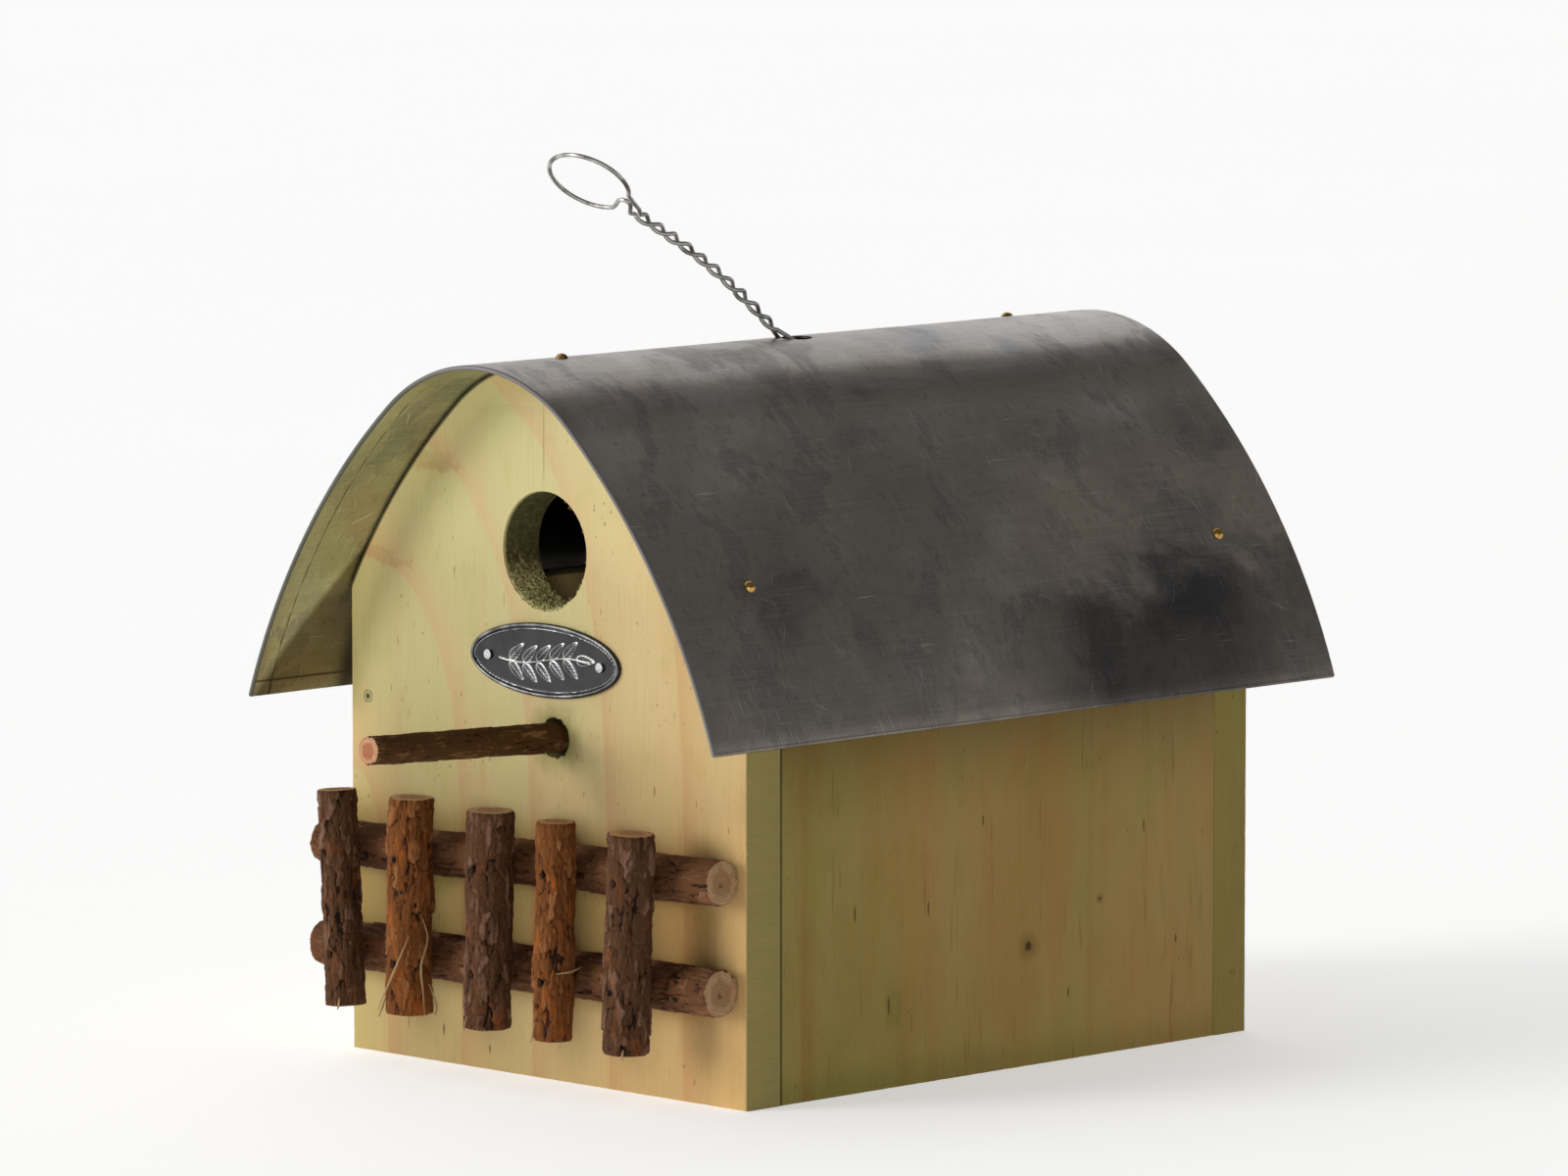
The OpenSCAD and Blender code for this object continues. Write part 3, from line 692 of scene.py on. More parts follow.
def mesh_object(name, vertices, faces, materials, marks=None, relief=None):
    """A mesh in the scene, with its faces looking outwards. Marks say which material each has."""
    mesh = bpy.data.meshes.new(name)
    mesh.from_pydata([tuple(v) for v in vertices], [], faces)
    for material in materials:
        mesh.materials.append(material)
    if marks:
        mesh.polygons.foreach_set("material_index", marks)
    if relief:
        mesh.attributes.new("relief", "FLOAT", "POINT").data.foreach_set("value", relief)
    whole = bmesh.new()
    whole.from_mesh(mesh)
    bmesh.ops.recalc_face_normals(whole, faces=whole.faces)
    whole.to_mesh(mesh)
    whole.free()
    return new_object(name, mesh)


def add_piece(name, vertices, faces, materials, body, slot, nodes, marks=None, relief=None,
              sharp=35):
    """Makes a mesh piece that rides on a body and stands for CAD nodes."""
    piece = mesh_object(name, vertices, faces, materials, marks, relief)
    piece.data.shade_smooth()
    piece.data.set_sharp_from_angle(angle=math.radians(sharp))
    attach(piece, body)
    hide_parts(*nodes)
    return piece


def ring_of_faces(first, second, size):
    """Faces between two closed rings of points, which start at two indices."""
    pairs = [(i, (i + 1) % size) for i in range(size)]
    return [[first + i, first + n, second + n, second + i] for i, n in pairs]


def rows_of_faces(rows, size, first=0):
    """Faces between rows of points, where each row is a closed ring."""
    starts = range(first, first + (rows - 1) * size, size)
    return [face for start in starts for face in ring_of_faces(start, start + size, size)]


def spaced(points, step):
    """A closed outline with extra points, so that no side is longer than step."""
    made = []
    for here, there in zip(points, points[1:] + points[:1]):
        count = max(1, math.ceil((Vector(there) - Vector(here)).length / step))
        made += [tuple(Vector(here).lerp(Vector(there), i / count)) for i in range(count)]
    return made


def circle(centre, radius, count, ragged=0.0, seed=0.0):
    """A closed outline round a centre, uneven if ragged is set."""
    made = []
    for i in range(count):
        turn = 2 * math.pi * i / count
        away = Vector((math.cos(turn), math.sin(turn)))
        bite = noise.fractal(Vector((*(away * 3.0), seed)), 0.6, 2.2, 4)
        made.append(tuple(Vector(centre) + away * (radius + ragged * bite)))
    return made


BOARD_GRAIN = 0.15 * MM


def inset(points, depth):
    """A closed counter-clockwise outline moved inwards, a little unevenly."""
    made = []
    for i, here in enumerate(points):
        along = (Vector(points[(i + 1) % len(points)]) - Vector(points[i - 1])).normalized()
        inwards = Vector((-along.y, along.x))
        bite = max(0.0, noise.noise(Vector((here[0] * 330, here[1] * 330, depth * 900))))
        made.append(tuple(Vector(here) + inwards * (depth + BOARD_GRAIN * bite)))
    return made


def bored(points, w, rough, flare):
    """The ring of a bore at a depth, torn most at its foot and wider where it opens."""
    centre = Vector(points[0]).lerp(Vector(points[len(points) // 2]), 0.5)
    ring = []
    for u, v in points:
        away = (Vector((u, v)) - centre).normalized()
        lift = rough * noise.fractal(Vector((u * 900, v * 900, w * 900)), 0.7, 2.1, 4)
        lift *= 0.2 + 1.9 * max(0.0, -away.y)
        ring.append(tuple(Vector((u, v)) + away * (lift + flare)))
    return ring


def prism(outline, depth, place, edge, holes=()):
    """A board: an outline with rounded edges and holes, placed by a function of (u, v, w).

    Each hole is (outline, depth, rows, rough), where depth None goes right through.
    """
    mesh = bmesh.new()

    def loop(points, w):
        return [mesh.verts.new(place(u, v, w)) for u, v in points]

    def wall(first, second):
        for i in range(len(first)):
            j = (i + 1) % len(first)
            mesh.faces.new((first[i], first[j], second[j], second[i]))

    def fill(loops):
        edges = []
        for ring in loops:
            for pair in zip(ring, ring[1:] + ring[:1]):
                edges.append(mesh.edges.get(pair) or mesh.edges.new(pair))
        bmesh.ops.triangle_fill(mesh, use_beauty=True, edges=edges)

    profile = [(edge, 0.0), (edge * 0.3, edge * 0.3), (0.0, edge)]
    rows = [loop(inset(outline, back), w) for back, w in profile]
    rows += [loop(inset(outline, back), depth - w) for back, w in reversed(profile)]
    for first, second in zip(rows, rows[1:]):
        wall(first, second)
    fronts, backs = [rows[0]], [rows[-1]]
    for points, hole_depth, steps, rough in holes:
        end = hole_depth or depth
        rings = [
            loop(bored(points, end * k / steps, rough, 0.0 if k else 0.35 * MM), end * k / steps)
            for k in range(steps + 1)
        ]
        for first, second in zip(rings, rings[1:]):
            wall(first, second)
        fronts.append(rings[0])
        if hole_depth:
            fill([rings[-1]])
        else:
            backs.append(rings[-1])
    fill(fronts)
    fill(backs)
    mesh.verts.index_update()
    made = [v.co.copy() for v in mesh.verts], [[v.index for v in f.verts] for f in mesh.faces]
    mesh.free()
    return made


def tube(points, radii, sides, squash=1.0):
    """A closed tube along points, with one radius per point."""
    vertices = []
    side = Vector((0.31, 0.43, 0.85))
    for i, here in enumerate(points):
        before, after = points[max(i - 1, 0)], points[min(i + 1, len(points) - 1)]
        along = (after - before).normalized()
        side = (side - side.dot(along) * along).normalized()
        other = along.cross(side)
        for k in range(sides):
            turn = 2 * math.pi * k / sides
            out = side * math.cos(turn) + other * math.sin(turn) * squash
            vertices.append(here + out * radii[i])
    faces = rows_of_faces(len(points), sides)
    return vertices, faces + [list(range(sides)), list(range(len(vertices) - sides, len(vertices)))]


def joined(parts):
    """Several (vertices, faces) as one."""
    vertices, faces = [], []
    for some, their in parts:
        faces += [[i + len(vertices) for i in f] for f in their]
        vertices += some
    return vertices, faces


def flowing(points, steps):
    """A smooth curve through points, with some steps between each two."""
    made = []
    last = len(points) - 1
    for i in range(last):
        before, here = points[max(i - 1, 0)], points[i]
        there, after = points[i + 1], points[min(i + 2, last)]
        for k in range(steps):
            t = k / steps
            made.append(0.5 * (
                2 * here + (there - before) * t
                + (2 * before - 5 * here + 4 * there - after) * t ** 2
                + (3 * here - before - 3 * there + after) * t ** 3
            ))
    return made + [points[last]]


# ---- box

EDGE = 0.5 * MM
HOLE_TEAR = 0.3 * MM


def gable_outline():
    limit = math.asin((HALF_W - FLANK_X) / (FLANK_R - GABLE_INSET))
    count = 90
    arch = [arch_point(limit * (1 - 2 * i / count), GABLE_INSET) for i in range(count + 1)]
    return spaced([(-HALF_W, 0.0), (HALF_W, 0.0)] + arch, 2.5 * MM)


def fibre(start, along, length, curl):
    """A torn wood fibre: a short tapered hair."""
    points = [start + (along + curl * (i / 4) ** 2).normalized() * length * i / 4 for i in range(5)]
    return tube(points, [0.13 * MM * (1 - 0.8 * i / 4) for i in range(5)], 4)


def front_fibres():
    """Torn fibres along the right edge of the front board and round its entrance hole."""
    pick = random.Random(7)
    parts = []
    for i in range(30):
        z = pick.uniform(74, 108) * MM if i < 22 else pick.uniform(12, 60) * MM
        start = Vector((HALF_W - 0.4 * MM, FRONT_Y + 0.2 * MM, z))
        along = Vector((pick.uniform(0.25, 0.6), pick.uniform(0.3, 1), pick.uniform(-1.3, 1.3)))
        curl = Vector((pick.uniform(-1, 1), pick.uniform(-1, 1), pick.uniform(-1, 1)))
        parts.append(fibre(start, along.normalized(), pick.uniform(0.8, 2.2) * MM, curl))
    for i in range(64):
        turn = pick.gauss(-1.2, 0.55) if i < 40 else pick.uniform(0, 2 * math.pi)
        out = Vector((math.cos(turn), 0, math.sin(turn)))
        start = ENTRANCE + out * (ENTRANCE_R + 0.3 * MM)
        start.y = FRONT_Y + pick.uniform(0.3, 1.5) * MM
        along = (-out + Vector((pick.uniform(-0.6, 0.6), pick.uniform(-0.5, 0.1), 0.5))).normalized()
        parts.append(fibre(start, along, pick.uniform(0.7, 1.7) * MM, out * pick.uniform(-0.4, 0.4)))
    return parts


def make_gables():
    """The front board with its holes, and the back board."""
    wood = board_material("front_wood", 1, front_rings, extras=front_extras)
    holes = [
        (circle((ENTRANCE.x, ENTRANCE.z), ENTRANCE_R, 144), None, 16, 0.28 * MM),
        (circle((PERCH.x, PERCH.z), PERCH_HOLE_R, 72, 0.45 * MM, 3.0), None, 6, HOLE_TEAR),
        (circle((PIVOT.x, PIVOT.z), 1.5 * MM, 20), 0.5 * MM, 1, 0.0),
    ]
    made = prism(gable_outline(), BOARD_T, lambda u, v, w: (u, FRONT_Y + w, v), EDGE, holes)
    made = joined([made] + front_fibres())
    add_piece("front_panel", *made, [wood], "house", "pale_board", ["front_board"])
    wood = board_material("back_wood", 2, front_rings, (0.5, 0.42, 0.22), back_extras)
    made = prism(gable_outline(), BOARD_T, lambda u, v, w: (u, BACK_Y - w, v), EDGE)
    add_piece("back_panel", *made, [wood], "house", "pale_board", ["back_board"])


def make_plain_board(name, node, body, axes, wood):
    """A board in the box of a CAD node: two axes of its outline and the one of its thickness."""
    low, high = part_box(node)
    a, b, c = axes

    def place(u, v, w):
        point = Vector()
        point[a], point[b], point[c] = u, v, low[c] + w
        return point

    corners = [(low[a], low[b]), (high[a], low[b]), (high[a], high[b]), (low[a], high[b])]
    made = prism(spaced(corners, 3 * MM), high[c] - low[c], place, EDGE * 0.7)
    add_piece(name, *made, [wood], body, "pale_board", [node])


def make_boards():
    make_gables()
    # The right panel's dark brown tone is partly painted shade, as that side is turned away from the
    # key light
    wood = board_material("right_wood", 3, side_rings(0.01, 26 * MM), (0.6, 0.475, 0.285),
                          side_extras, 0.24)
    make_plain_board("right_wall", "right_side_panel", "house", (1, 2, 0), wood)
    wood = board_material("left_wood", 4, side_rings(0.02, 31 * MM), (0.96, 0.96, 0.92),
                          left_extras)
    make_plain_board("left_wall", "left_side_panel", "clean_out_panel", (1, 2, 0), wood)
    wood = board_material("floor_wood", 5, side_rings(0.0, 22 * MM, 0.0), (0.9, 0.85, 0.75))
    make_plain_board("floor_board", "floor_panel", "house", (0, 1, 2), wood)


# ---- roof

HANGER_Y = -3.5 * MM
HANGER_HOLE_R = 5.57 * MM
ARCH_STEPS = 120
ROOF_ROWS = 44
EAVE_STEPS = 6


def sheet_section(thin, thick, inner):
    """Closed section of the sheet: outer face, round eaves, inner face. Insets in metres."""
    angles = [EAVE_ANGLE * (2 * i / ARCH_STEPS - 1) for i in range(ARCH_STEPS + 1)]
    half = (thick - thin) / 2
    x, z = arch_point(EAVE_ANGLE, (thick + thin) / 2)
    turns = [EAVE_ANGLE + math.pi * i / EAVE_STEPS for i in range(1, EAVE_STEPS)]
    edge = [(x + half * math.sin(turn), z + half * math.cos(turn)) for turn in turns]
    outer = [arch_point(a, thin) for a in angles]
    under = [arch_point(a, thick if abs(a) >= FOLD_ANGLE else inner) for a in reversed(angles)]
    return outer + edge + under + [(-px, pz) for px, pz in reversed(edge)]


def drilled(sheet, materials, centre, radius, reach):
    """A closed mesh with a round upright hole, whose wall takes the second material."""
    count = 48
    rim = [(centre[0] + x, centre[1] + y) for x, y in circle((0, 0), radius, count)]
    ends = [(x, y, centre[2] + side * reach) for side in (-1, 1) for x, y in rim]
    walls = rows_of_faces(2, count) + [list(range(count)), list(range(count, 2 * count))]
    whole = mesh_object("sheet", sheet[0], sheet[1], materials, sheet[2])
    tool = mesh_object("tool", ends, walls, materials, [1] * len(walls))
    cut = whole.modifiers.new("hole", "BOOLEAN")
    cut.object, cut.solver = tool, "EXACT"
    made = bpy.data.meshes.new_from_object(
        whole.evaluated_get(bpy.context.evaluated_depsgraph_get()))
    result = ([v.co.copy() for v in made.vertices], [list(f.vertices) for f in made.polygons],
              [f.material_index for f in made.polygons])
    for mesh in (whole.data, tool.data, made):
        bpy.data.meshes.remove(mesh)
    return result


def make_roof():
    """The bent sheet, folded double along its ends and eaves, with rounded folds."""
    t = SHEET_T
    double, single = (0.0, 2 * t, 2 * t), (0.0, 2 * t, t)
    ends = [
        (0.0, (0.86 * t, 1.14 * t, 1.14 * t)), (0.15 * t, (0.45 * t, 1.55 * t, 1.55 * t)),
        (0.5 * t, (0.13 * t, 1.87 * t, 1.87 * t)), (t, double), (END_HEM - 0.1 * MM, double),
        (END_HEM, single),
    ]
    gap = (roof_high.y - roof_low.y - 2 * END_HEM) / ROOF_ROWS
    rows = [(roof_low.y + w, how) for w, how in ends]
    rows += [(roof_low.y + END_HEM + gap * i, single) for i in range(1, ROOF_ROWS)]
    rows += [(roof_high.y - w, how) for w, how in reversed(ends)]
    vertices = []
    for y, how in rows:
        for x, z in sheet_section(*how):
            ripple = 0.16 * MM * noise.noise(Vector((x * 22, y * 16, z * 22)))
            vertices.append(Vector((x, y, z + ripple)))
    size = len(vertices) // len(rows)
    faces = rows_of_faces(len(rows), size)
    first_under = ARCH_STEPS + EAVE_STEPS - 1
    marks = [int(first_under <= k % size <= size - EAVE_STEPS) for k in range(len(faces))]
    faces += [list(range(size)), list(range(len(vertices) - size, len(vertices)))]
    materials = [zinc_material("zinc_sheet", zinc_above), zinc_material("zinc_underside", zinc_below)]
    vertices, faces, marks = drilled((vertices, faces, marks + [0, 0]), materials,
                                     (0, HANGER_Y, RIDGE_Z), HANGER_HOLE_R, 4 * MM)
    add_piece("zinc_roof", vertices, faces, materials, "house", "zinc", ["roof_sheet"], marks,
              sharp=50)


# ---- sticks

STICK_STEPS = 120
STICK_STEP = 0.36 * MM
# Shares of the radius at which a sawn end has its rings of points
END_RINGS = (0.96, 0.88, 0.74, 0.56, 0.36, 0.18)


def bark_height(x, y, z, seed, plates):
    """Relief of the bark at a place on a stick, in units of its depth.

    Flakes that each lie a little askew leave ledges where they meet, with fissures between.
    """
    shift = Vector((seed * 13.7, seed * 7.1, seed * 3.3))
    place = Vector((x, y, z))
    wide = Vector((x * 330, y * 330, z * 105)) + shift
    wide += 0.4 * noise.noise_vector(place * 330 + shift)
    distances, places = noise.voronoi(wide)
    off = wide - places[0]
    skew = noise.cell_vector(places[0] * 3.1) - Vector((0.5, 0.5, 0.5))
    ledge = off.dot(skew) * 2.0 - 0.55 * off.z
    crack = min(1.0, (distances[1] - distances[0]) * 6.0) - 1
    long = Vector((x * 420, y * 420, z * 60)) + shift
    fissure = 1 - min(1.0, abs(noise.noise(long)) * 4.0)
    fine = noise.fractal(Vector((x * 1500, y * 1500, z * 600)) + shift, 0.8, 2.2, 3)
    height = (0.45 * skew.x + 0.55 * ledge + 0.3 * crack) * plates
    return height - 0.32 * fissure * fissure + 0.15 * fine


def stick_side(radius, length, seed, relief, plates, dents):
    """Points of a stick's bark along +Z, row by row, and how high the bark is at each."""
    vertices, levels = [], []
    rows = max(8, round(length / STICK_STEP))
    for j in range(rows + 1):
        z = length * j / rows
        near_end = min(1.0, min(z, length - z) / (0.8 * MM))
        for i in range(STICK_STEPS):
            turn = 2 * math.pi * i / STICK_STEPS
            c, sn = math.cos(turn), math.sin(turn)
            lump = noise.noise(Vector((c * 1.3, sn * 1.3, z * 45 + seed * 9.1)))
            height = bark_height(c * radius, sn * radius, z, seed, plates)
            r = radius + relief * height + 0.35 * MM * lump
            for angle, at, size, depth in dents:
                gap = math.hypot((turn - angle + math.pi) % (2 * math.pi) - math.pi,
                                 (z - at) / radius) * radius
                if gap < 2.5 * size:
                    r -= depth * math.exp(-(gap / size) ** 2)
                    # Lowering the relief here also paints the dent dark, as painted shade in the pit
                    height -= 1.4 * math.exp(-(gap / size) ** 2)
            r -= 0.25 * MM * (1 - near_end)
            vertices.append(Vector((c * r, sn * r, z)))
            levels.append(max(0.0, min(1.0, 0.62 + height * 0.7)))
    return vertices, levels


def stick_end(rim, direction, seed):
    """Rings of points inside the rim of a sawn end, which swells a little and is uneven."""
    vertices = []
    for share in END_RINGS:
        for v in rim:
            ripple = noise.noise(Vector((v.x * share * 900, v.y * share * 900, seed)))
            lift = direction * (0.1 * MM * (share < 0.9) + 0.07 * MM * ripple)
            vertices.append(Vector((v.x * share, v.y * share, v.z + lift)))
    return vertices


def stick_mesh(radius, length, seed, relief, plates, dents):
    """A bark-covered stick along +Z, with its relief and marks of 1 on its sawn ends.

    Each dent is (angle, height, radius, depth).
    """
    count = STICK_STEPS
    vertices, levels = stick_side(radius, length, seed, relief, plates, dents)
    faces = rows_of_faces(len(vertices) // count, count)
    marks = [0] * len(faces)
    last = len(vertices) - count
    for start, direction in ((0, -1), (last, 1)):
        base = len(vertices)
        vertices += stick_end(vertices[start:start + count], direction, seed)
        for share in END_RINGS:
            levels += [share] * count
        faces += ring_of_faces(start, base, count) + rows_of_faces(len(END_RINGS), count, base)
        faces.append(list(range(len(vertices) - count, len(vertices))))
    return vertices, faces, marks + [1] * (len(faces) - len(marks)), levels


def add_stick(name, node, line, seed, relief, skins, slot, plates=1.0, dents=(), loose=()):
    """A stick on a line of (base, direction, radius, length), which replaces a CAD node.

    Each loose strip of bark is a list of (angle in degrees, height, distance off the bark) in mm.
    """
    base, along, radius, length = line
    vertices, faces, marks, levels = stick_mesh(radius, length, seed, relief, plates, dents)
    for strip in loose:
        points = []
        for turn, height, off in strip:
            turn, out = math.radians(turn), radius + off * MM
            points.append(Vector((out * math.cos(turn), out * math.sin(turn), height * MM)))
        points = flowing(points, 4)
        last = len(points) - 1
        radii = [0.36 * MM * (1 - 0.65 * abs(2 * i / last - 1)) for i in range(last + 1)]
        some, their = tube(points, radii, 6, 0.6)
        faces += [[i + len(vertices) for i in f] for f in their]
        marks += [2] * len(their)
        vertices += some
        levels += [1.0] * len(some)
    piece = add_piece(name, vertices, faces, skins, "house", slot, [node], marks, levels, 60)
    turn = Vector((0, 0, 1)).rotation_difference(along)
    piece.matrix_world = Matrix.Translation(base) @ turn.to_matrix().to_4x4()
    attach(piece, "house")


def stick_line(node, main, side, across, lean, heading=1):
    """Base, direction, radius and length of a CAD stick, which leans from its main axis to a side."""
    low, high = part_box(node)
    along = Vector((0, 0, 0))
    along[main] = heading * math.cos(lean)
    along[side] = math.sin(lean)
    radius = (high[across] - low[across]) / 2
    length = ((high[main] - low[main]) - 2 * radius * math.sin(abs(lean))) / math.cos(lean)
    return (low + high) / 2 - along * length / 2, along, radius, length


X, Y, Z = 0, 1, 2
POST_LEANS = (-3.2, 1.5, 1.4, 1.6, 2.2)
RAIL_RISES = {"fence_rail_upper": 1.4, "fence_rail_lower": 0.8}
PERCH_RISE = 2.3
LOOSE_BARK = {
    0: [[(-60, 3, -0.2), (-62, 0.5, 0.4), (-64, -0.8, 0.9)]],
    1: [
        [(-13, 29.7, 0.0), (5, 22.6, 0.5), (-13, 14.8, 0.4), (-7, 7, 0.5), (-4, 0.2, 0.9)],
        [(-45, 23.3, 0.0), (-68, 16, 0.8), (-95, 8.5, 1.0), (-133, 1.2, 2.0)],
        [(-98, 10, 0.0), (-116, 5.5, 0.9), (-137, 0.4, 2.2)],
        [(-128, 5, -0.2), (-131, 1.0, 1.0), (-130, -1.3, 1.9)],
        [(22, 9, -0.2), (36, 4.5, 1.0), (40, 1.5, 1.7), (33, -0.4, 1.4)],
    ],
    2: [[(-100, 4, -0.1), (-104, 1.5, 0.5), (-103, -0.5, 0.9)]],
    3: [
        [(-38, 19.9, 0.0), (-5, 20.3, 0.7), (20, 20.8, 1.3), (40, 21.3, 2.3)],
        [(-110, 6, -0.1), (-112, 1.5, 0.6), (-114, -0.8, 1.2)],
    ],
    4: [[(-50, 2, -0.1), (-52, 0.2, 0.5), (-50, -0.9, 1.0)]],
}
BARK_FRONT = math.radians(270)


def pin_dents(line):
    """Dents in a post's bark where a pin crosses it into each rail."""
    base, along, _, length = line
    dents = []
    for rail, rise in RAIL_RISES.items():
        middle = (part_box(rail)[0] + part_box(rail)[1]) / 2
        off = base.x + along.x * length / 2 - middle.x
        level = middle.z + off * math.tan(math.radians(rise))
        dents.append((BARK_FRONT, level - base.z, 1 * MM, 0.55 * MM))
    return dents


def make_fence():
    grain = end_grain_material("post_end_grain", (0.52, 0.32, 0.165), (0.31, 0.16, 0.078),
                               (0.09, 0.044, 0.02))
    grey = bark_material("grey_bark", (0.083, 0.036, 0.015), (0.188, 0.101, 0.066),
                         (0.014, 0.006, 0.003), (0.19, 0.056, 0.016), 0.57)
    orange = bark_material("orange_bark", (0.158, 0.053, 0.013), (0.272, 0.112, 0.04),
                           (0.024, 0.009, 0.004), (0.31, 0.088, 0.016), 0.54)
    rail_bark = bark_material("rail_bark", (0.128, 0.053, 0.022), (0.215, 0.106, 0.052),
                              (0.02, 0.009, 0.005), (0.19, 0.062, 0.032), 0.56)
    bast = bark_material("loose_bast", (0.3, 0.18, 0.075), (0.42, 0.28, 0.14),
                         (0.15, 0.07, 0.03), (0.4, 0.22, 0.09), 0.56)
    for i, lean in enumerate(POST_LEANS):
        node = f"fence_post_{i + 1}"
        line = stick_line(node, Z, X, Y, math.radians(lean))
        skins = [orange if i in (1, 3) else grey, grain, bast]
        add_stick(f"post_{i + 1}", node, line, i + 11, 0.85 * MM, skins, "bark_post",
                  dents=pin_dents(line), loose=LOOSE_BARK[i])
    for node, rise in RAIL_RISES.items():
        line = stick_line(node, X, Z, Y, math.radians(rise))
        add_stick(node.replace("fence_", "") + "_stick", node, line, 21 + rise, 0.6 * MM,
                  [rail_bark, grain], "bark_twig", plates=0.95)


def make_perch():
    grain = end_grain_material("twig_end_grain", (0.6, 0.35, 0.2), (0.38, 0.125, 0.06),
                               (0.24, 0.075, 0.03))
    bark = bark_material("twig_bark", (0.074, 0.032, 0.009), (0.2, 0.105, 0.042),
                         (0.014, 0.006, 0.002), (0.08, 0.028, 0.008), 0.6)
    line = stick_line("perch", Y, Z, X, math.radians(PERCH_RISE), -1)
    add_stick("perch_twig", "perch", line, 31, 0.5 * MM, [bark, grain], "bark_twig", plates=0.6)


# ---- wire

WIRE_R = 0.65 * MM
LEAN = math.radians(56.6)
STEM_L = 80.5 * MM
STEM_BOW = 2.3 * MM
HANGER_Z = 206.19 * MM
TWIST_R = 1.1 * MM
TWIST_START = 9 * MM
TURNS = 5
TURN_STEPS = 20
NECK = 4.2 * MM
LEG_X = 2.7 * MM
LEG_TOP = 4.2 * MM
ARM = 9 * MM
LEG_BEND_R = 1.2 * MM
BEND_STEPS = 6
LOOP_L = 28.5 * MM
LOOP_W = 32.7 * MM
LOOP_SHIFT = -4 * MM
LOOP_SKEW = 6.2 * MM
LOOP_START = math.radians(37)
LOOP_END = math.radians(348)
LOOP_STEPS = 28
# Points of the wire beside the start of the loop, in wire diameters from the end of the stem
NECK_POINTS = ((2, -1.4, -0.25), (3, 1.3, -0.15))
HOOK_POINTS = (
    (-3.1, 0.9, 0), (-1.3, 2.4, 0), (0.2, 3.1, 0), (1.3, 3.15, 0), (2, 2.7, 0.05),
    (2.2, 1.95, 0.2), (1.8, 1.1, 0.4), (1.1, 0.2, 0.6), (0.2, -0.8, 0.7), (-0.6, -1.8, 0.6),
)


def wire_strand(phase):
    """One of the two strands that twist round each other up the stem."""
    made = []
    for i in range(TURNS * TURN_STEPS + 1):
        share = i / (TURNS * TURN_STEPS)
        swell = math.sin(math.pi * share)
        uneven = noise.noise(Vector((share * 6.3, 4.1, 0)))
        turn = phase + 2 * math.pi * i / TURN_STEPS + 0.45 * uneven * swell
        reach = TWIST_R * (1 + 0.22 * noise.noise(Vector((share * 9.1, 8.3, 0))))
        along = TWIST_START + (STEM_L - NECK - TWIST_START) * share
        made.append((reach * math.cos(turn), along, reach * math.sin(turn) - STEM_BOW * swell))
    return made


def wire_leg(side):
    """The turned-out end of a strand under the ridge, and its leg up to the twist."""
    made = [(side * ARM, 0, 0), (side * (LEG_X + 2.4 * LEG_BEND_R), 0, 0)]
    for i in range(BEND_STEPS + 1):
        turn = math.pi / 2 * i / BEND_STEPS
        made.append((side * (LEG_X + LEG_BEND_R * (1 - math.sin(turn))),
                     LEG_BEND_R * (1 - math.cos(turn)), 0))
    return made + [(side * LEG_X, LEG_TOP, 0)]


def wire_loop():
    """The uneven loop, with the bends that lead into it and the hook that closes it."""
    def at_neck(points):
        return [(2 * WIRE_R * x, STEM_L + 2 * WIRE_R * y, 2 * WIRE_R * z) for x, y, z in points]

    made = at_neck(NECK_POINTS)
    for i in range(LOOP_STEPS + 1):
        turn = LOOP_START + (LOOP_END - LOOP_START) * i / LOOP_STEPS
        made.append((LOOP_SHIFT + LOOP_W / 2 * math.sin(turn),
                     STEM_L + LOOP_L / 2 * (1 - math.cos(turn)) + LOOP_SKEW * math.sin(turn), 0))
    return made + at_neck(HOOK_POINTS)


def make_hanger(material):
    """The wire, from one turned-out end up through the ridge, round the loop and back."""
    route = wire_leg(1) + wire_strand(0) + wire_loop() + wire_strand(math.pi)[::-1]
    points = []
    for across, along, out in route + wire_leg(-1)[::-1]:
        points.append(Vector((
            across,
            HANGER_Y - along * math.sin(LEAN) - out * math.cos(LEAN),
            HANGER_Z + along * math.cos(LEAN) - out * math.sin(LEAN),
        )))
    points = flowing(points, 3)
    made = tube(points, [WIRE_R] * len(points), 14)
    add_piece("wire_hanger", *made, [material], "hanger", "galvanized_wire", ["hanger_wire"],
              sharp=70)


# ---- badge

BADGE_EDGE_T = 0.8 * MM
BADGE_BACK_BRIGHT = 0.2
RIM_SHARE = 0.86
# Sizes below are in millimetres, as badge_relief's are
RIM_W = 1.3
STEM_REACH = 19
STEM_WAVE = 1.3
LEAF_TURN = math.radians(40)
LEAF_START = 4.4
LEAF_HALF_L = 3.9
LEAVES = [(root, side) for root in (-15, -9.4, -3.8, 1.8, 7.4) for side in (-1, 1)] + [(12.5, 0)]


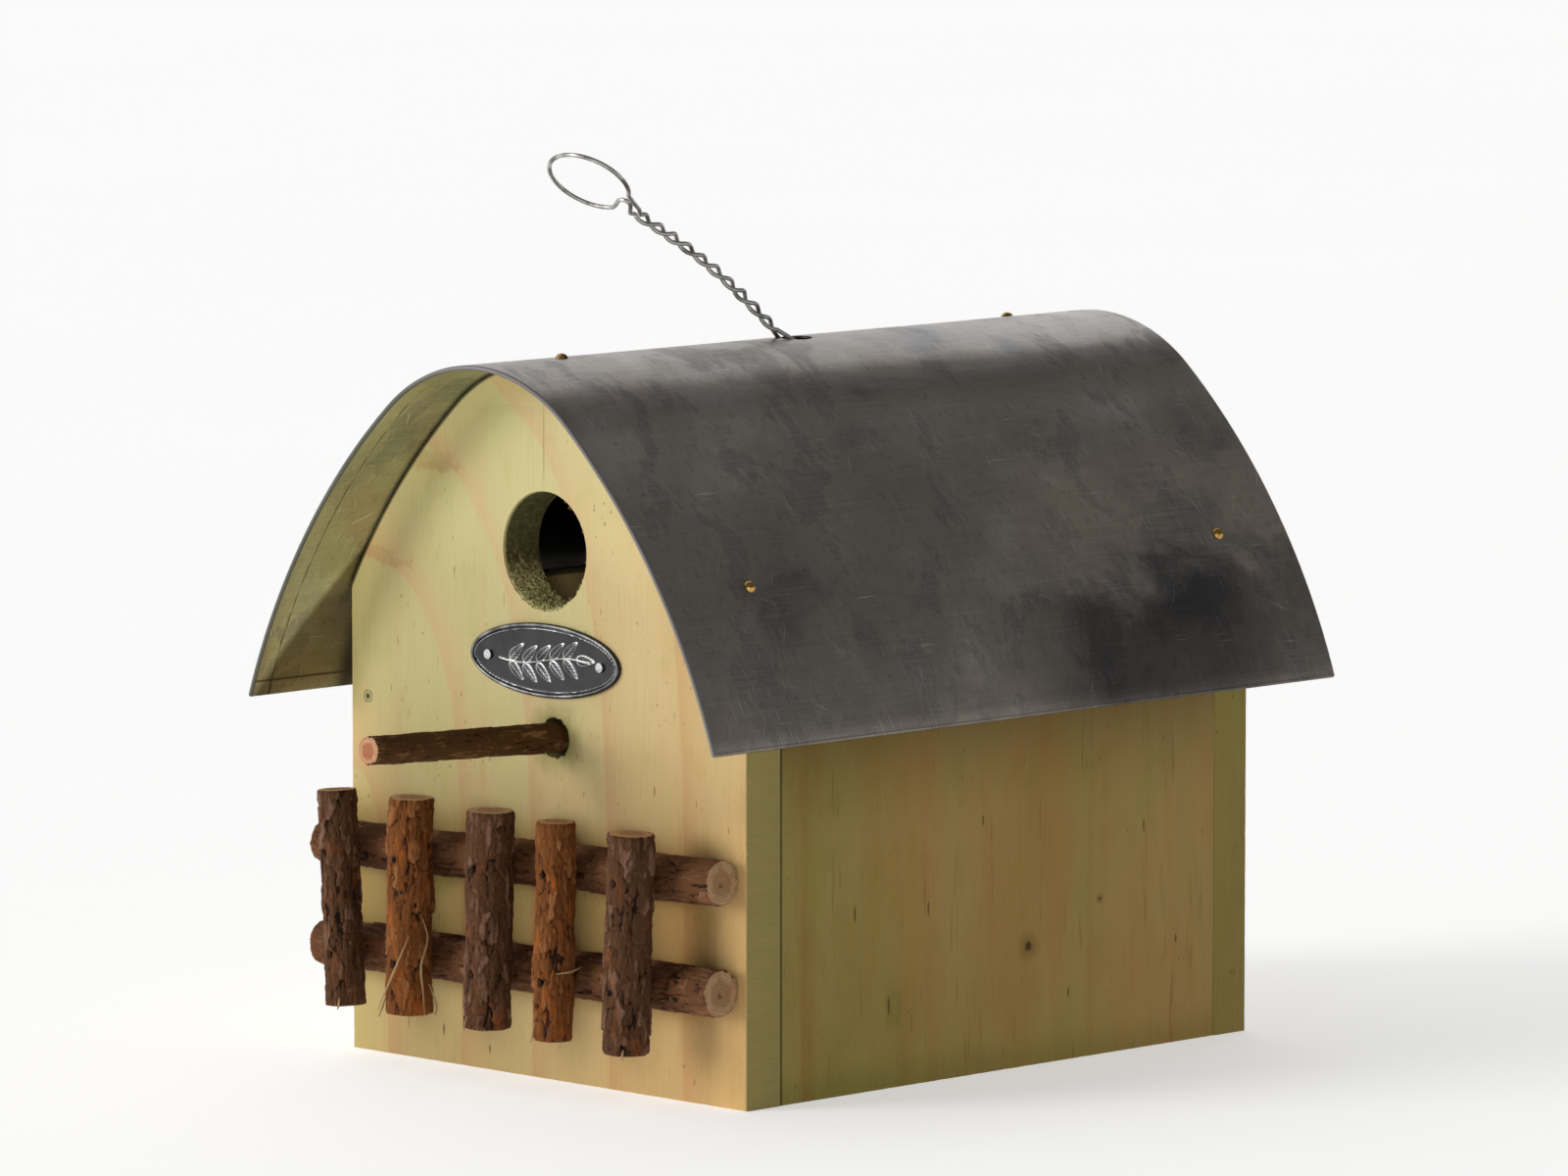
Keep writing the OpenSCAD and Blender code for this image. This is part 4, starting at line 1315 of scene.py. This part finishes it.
def badge_relief(u, v, half_u, half_v):
    """Height of the badge over its field in millimetres, and how bright it is rubbed.

    A rounded rim, a thin line inside it, and a plain sprig with leaves on both sides.
    """
    share = math.hypot(u / half_u, v / half_v)
    steep = math.hypot(u / half_u ** 2, v / half_v ** 2) / max(share, 1e-6)
    inwards = (1 - share) / max(steep, 1e-6)
    height = 0.5 * math.sqrt(max(0.0, math.sin(math.pi * min(inwards, RIM_W) / RIM_W)))
    bright = 0.46 * min(1.0, height * 2)
    line = math.exp(-((inwards - 1.75) / 0.17) ** 2)
    height, bright = max(height, 0.22 * line), max(bright, line)
    if abs(u) < STEM_REACH:
        line = math.exp(-((v - STEM_WAVE * math.sin(u / 7.0)) / 0.3) ** 2)
        height, bright = max(height, 0.28 * line), max(bright, line)
    for root, side in LEAVES:
        x, y = u - root, v - STEM_WAVE * math.sin(root / 7.0)
        turn = side * LEAF_TURN
        along = x * math.cos(turn) + y * math.sin(turn) - LEAF_START
        across = -x * math.sin(turn) + y * math.cos(turn)
        inside = 1 - (along / LEAF_HALF_L) ** 2 - (across / (1.55 - 0.17 * along)) ** 2
        if inside > 0:
            rib = math.exp(-(across / 0.16) ** 2)
            vein = 0.5 + 0.5 * math.cos((along - 1.4 * abs(across)) * 4.6)
            height = max(height, 0.06 + 0.22 * math.sqrt(inside) - 0.09 * rib - 0.03 * vein)
            edge = math.exp(-((inside - 0.17) / 0.15) ** 2)
            bright = max(bright, edge, 0.75 * rib, 0.42 * vein * (inside > 0.3))
    return height, bright


def make_badge():
    """The oval badge: a ring-wise mesh over its field and rim, and its flat back."""
    low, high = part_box("badge_plate")
    centre = (low + high) / 2
    half_u, half_v = (high.x - low.x) / 2 / MM, (high.z - low.z) / 2 / MM
    around = 300
    shares = [i / 64 * RIM_SHARE for i in range(1, 65)]
    shares += [RIM_SHARE + (1 - RIM_SHARE) * i / 22 for i in range(1, 23)]
    vertices, levels = [], []

    def add(u, v, y=None):
        height, bright = badge_relief(u, v, half_u, half_v)
        y = y or high.y - BADGE_EDGE_T - height * MM
        vertices.append(Vector((centre.x + u * MM, y, centre.z + v * MM)))
        levels.append(bright)

    add(0, 0)
    for share, y in [(share, None) for share in shares] + [(1.0, high.y)]:
        for k in range(around):
            turn = 2 * math.pi * k / around
            add(share * half_u * math.cos(turn), share * half_v * math.sin(turn), y)
    levels[-around:] = [BADGE_BACK_BRIGHT] * around
    faces = [[0, 1 + k, 1 + (k + 1) % around] for k in range(around)]
    faces += rows_of_faces(len(shares) + 1, around, 1)
    faces.append(list(range(len(vertices) - around, len(vertices))))
    add_piece("oval_badge", vertices, faces, [badge_material()], "house", "pewter", ["badge_plate"],
              relief=levels, sharp=40)


# ---- build


def dress_metal():
    """Materials of the nails, pins and brads, whose shapes stay as they are in the CAD."""
    steel = metal_material("steel", (0.085, 0.07, 0.055), (0.03, 0.022, 0.015), 0.55)
    for node, material in (
        ("roof_nails", metal_material("brass", (0.6, 0.36, 0.1), (0.12, 0.065, 0.02), 0.22)),
        ("badge_pins", metal_material("pewter", (0.5, 0.5, 0.5), (0.1, 0.1, 0.1), 0.28)),
        ("fence_pins", metal_material("rusty_pins", (0.04, 0.019, 0.012), (0.014, 0.007, 0.004),
                                      0.62)),
        ("pivot_nails", stained_nail_material()),
        ("rail_nails", steel), ("side_brads", steel), ("floor_brads", steel),
    ):
        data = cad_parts[node].data
        data.materials.clear()
        data.materials.append(material)


def make_floor():
    corners = [(-30, -30, 0), (30, -30, 0), (30, 30, 0), (-30, 30, 0)]
    mesh_object("studio_floor", corners, [(0, 1, 2, 3)], [floor_material()])


make_camera()
make_light()
make_boards()
make_roof()
make_badge()
make_fence()
make_perch()
make_hanger(metal_material("galvanized_wire", (0.56, 0.55, 0.53), (0.2, 0.19, 0.175), 0.34))
dress_metal()
make_floor()
bpy.context.scene.view_settings.view_transform = "Standard"
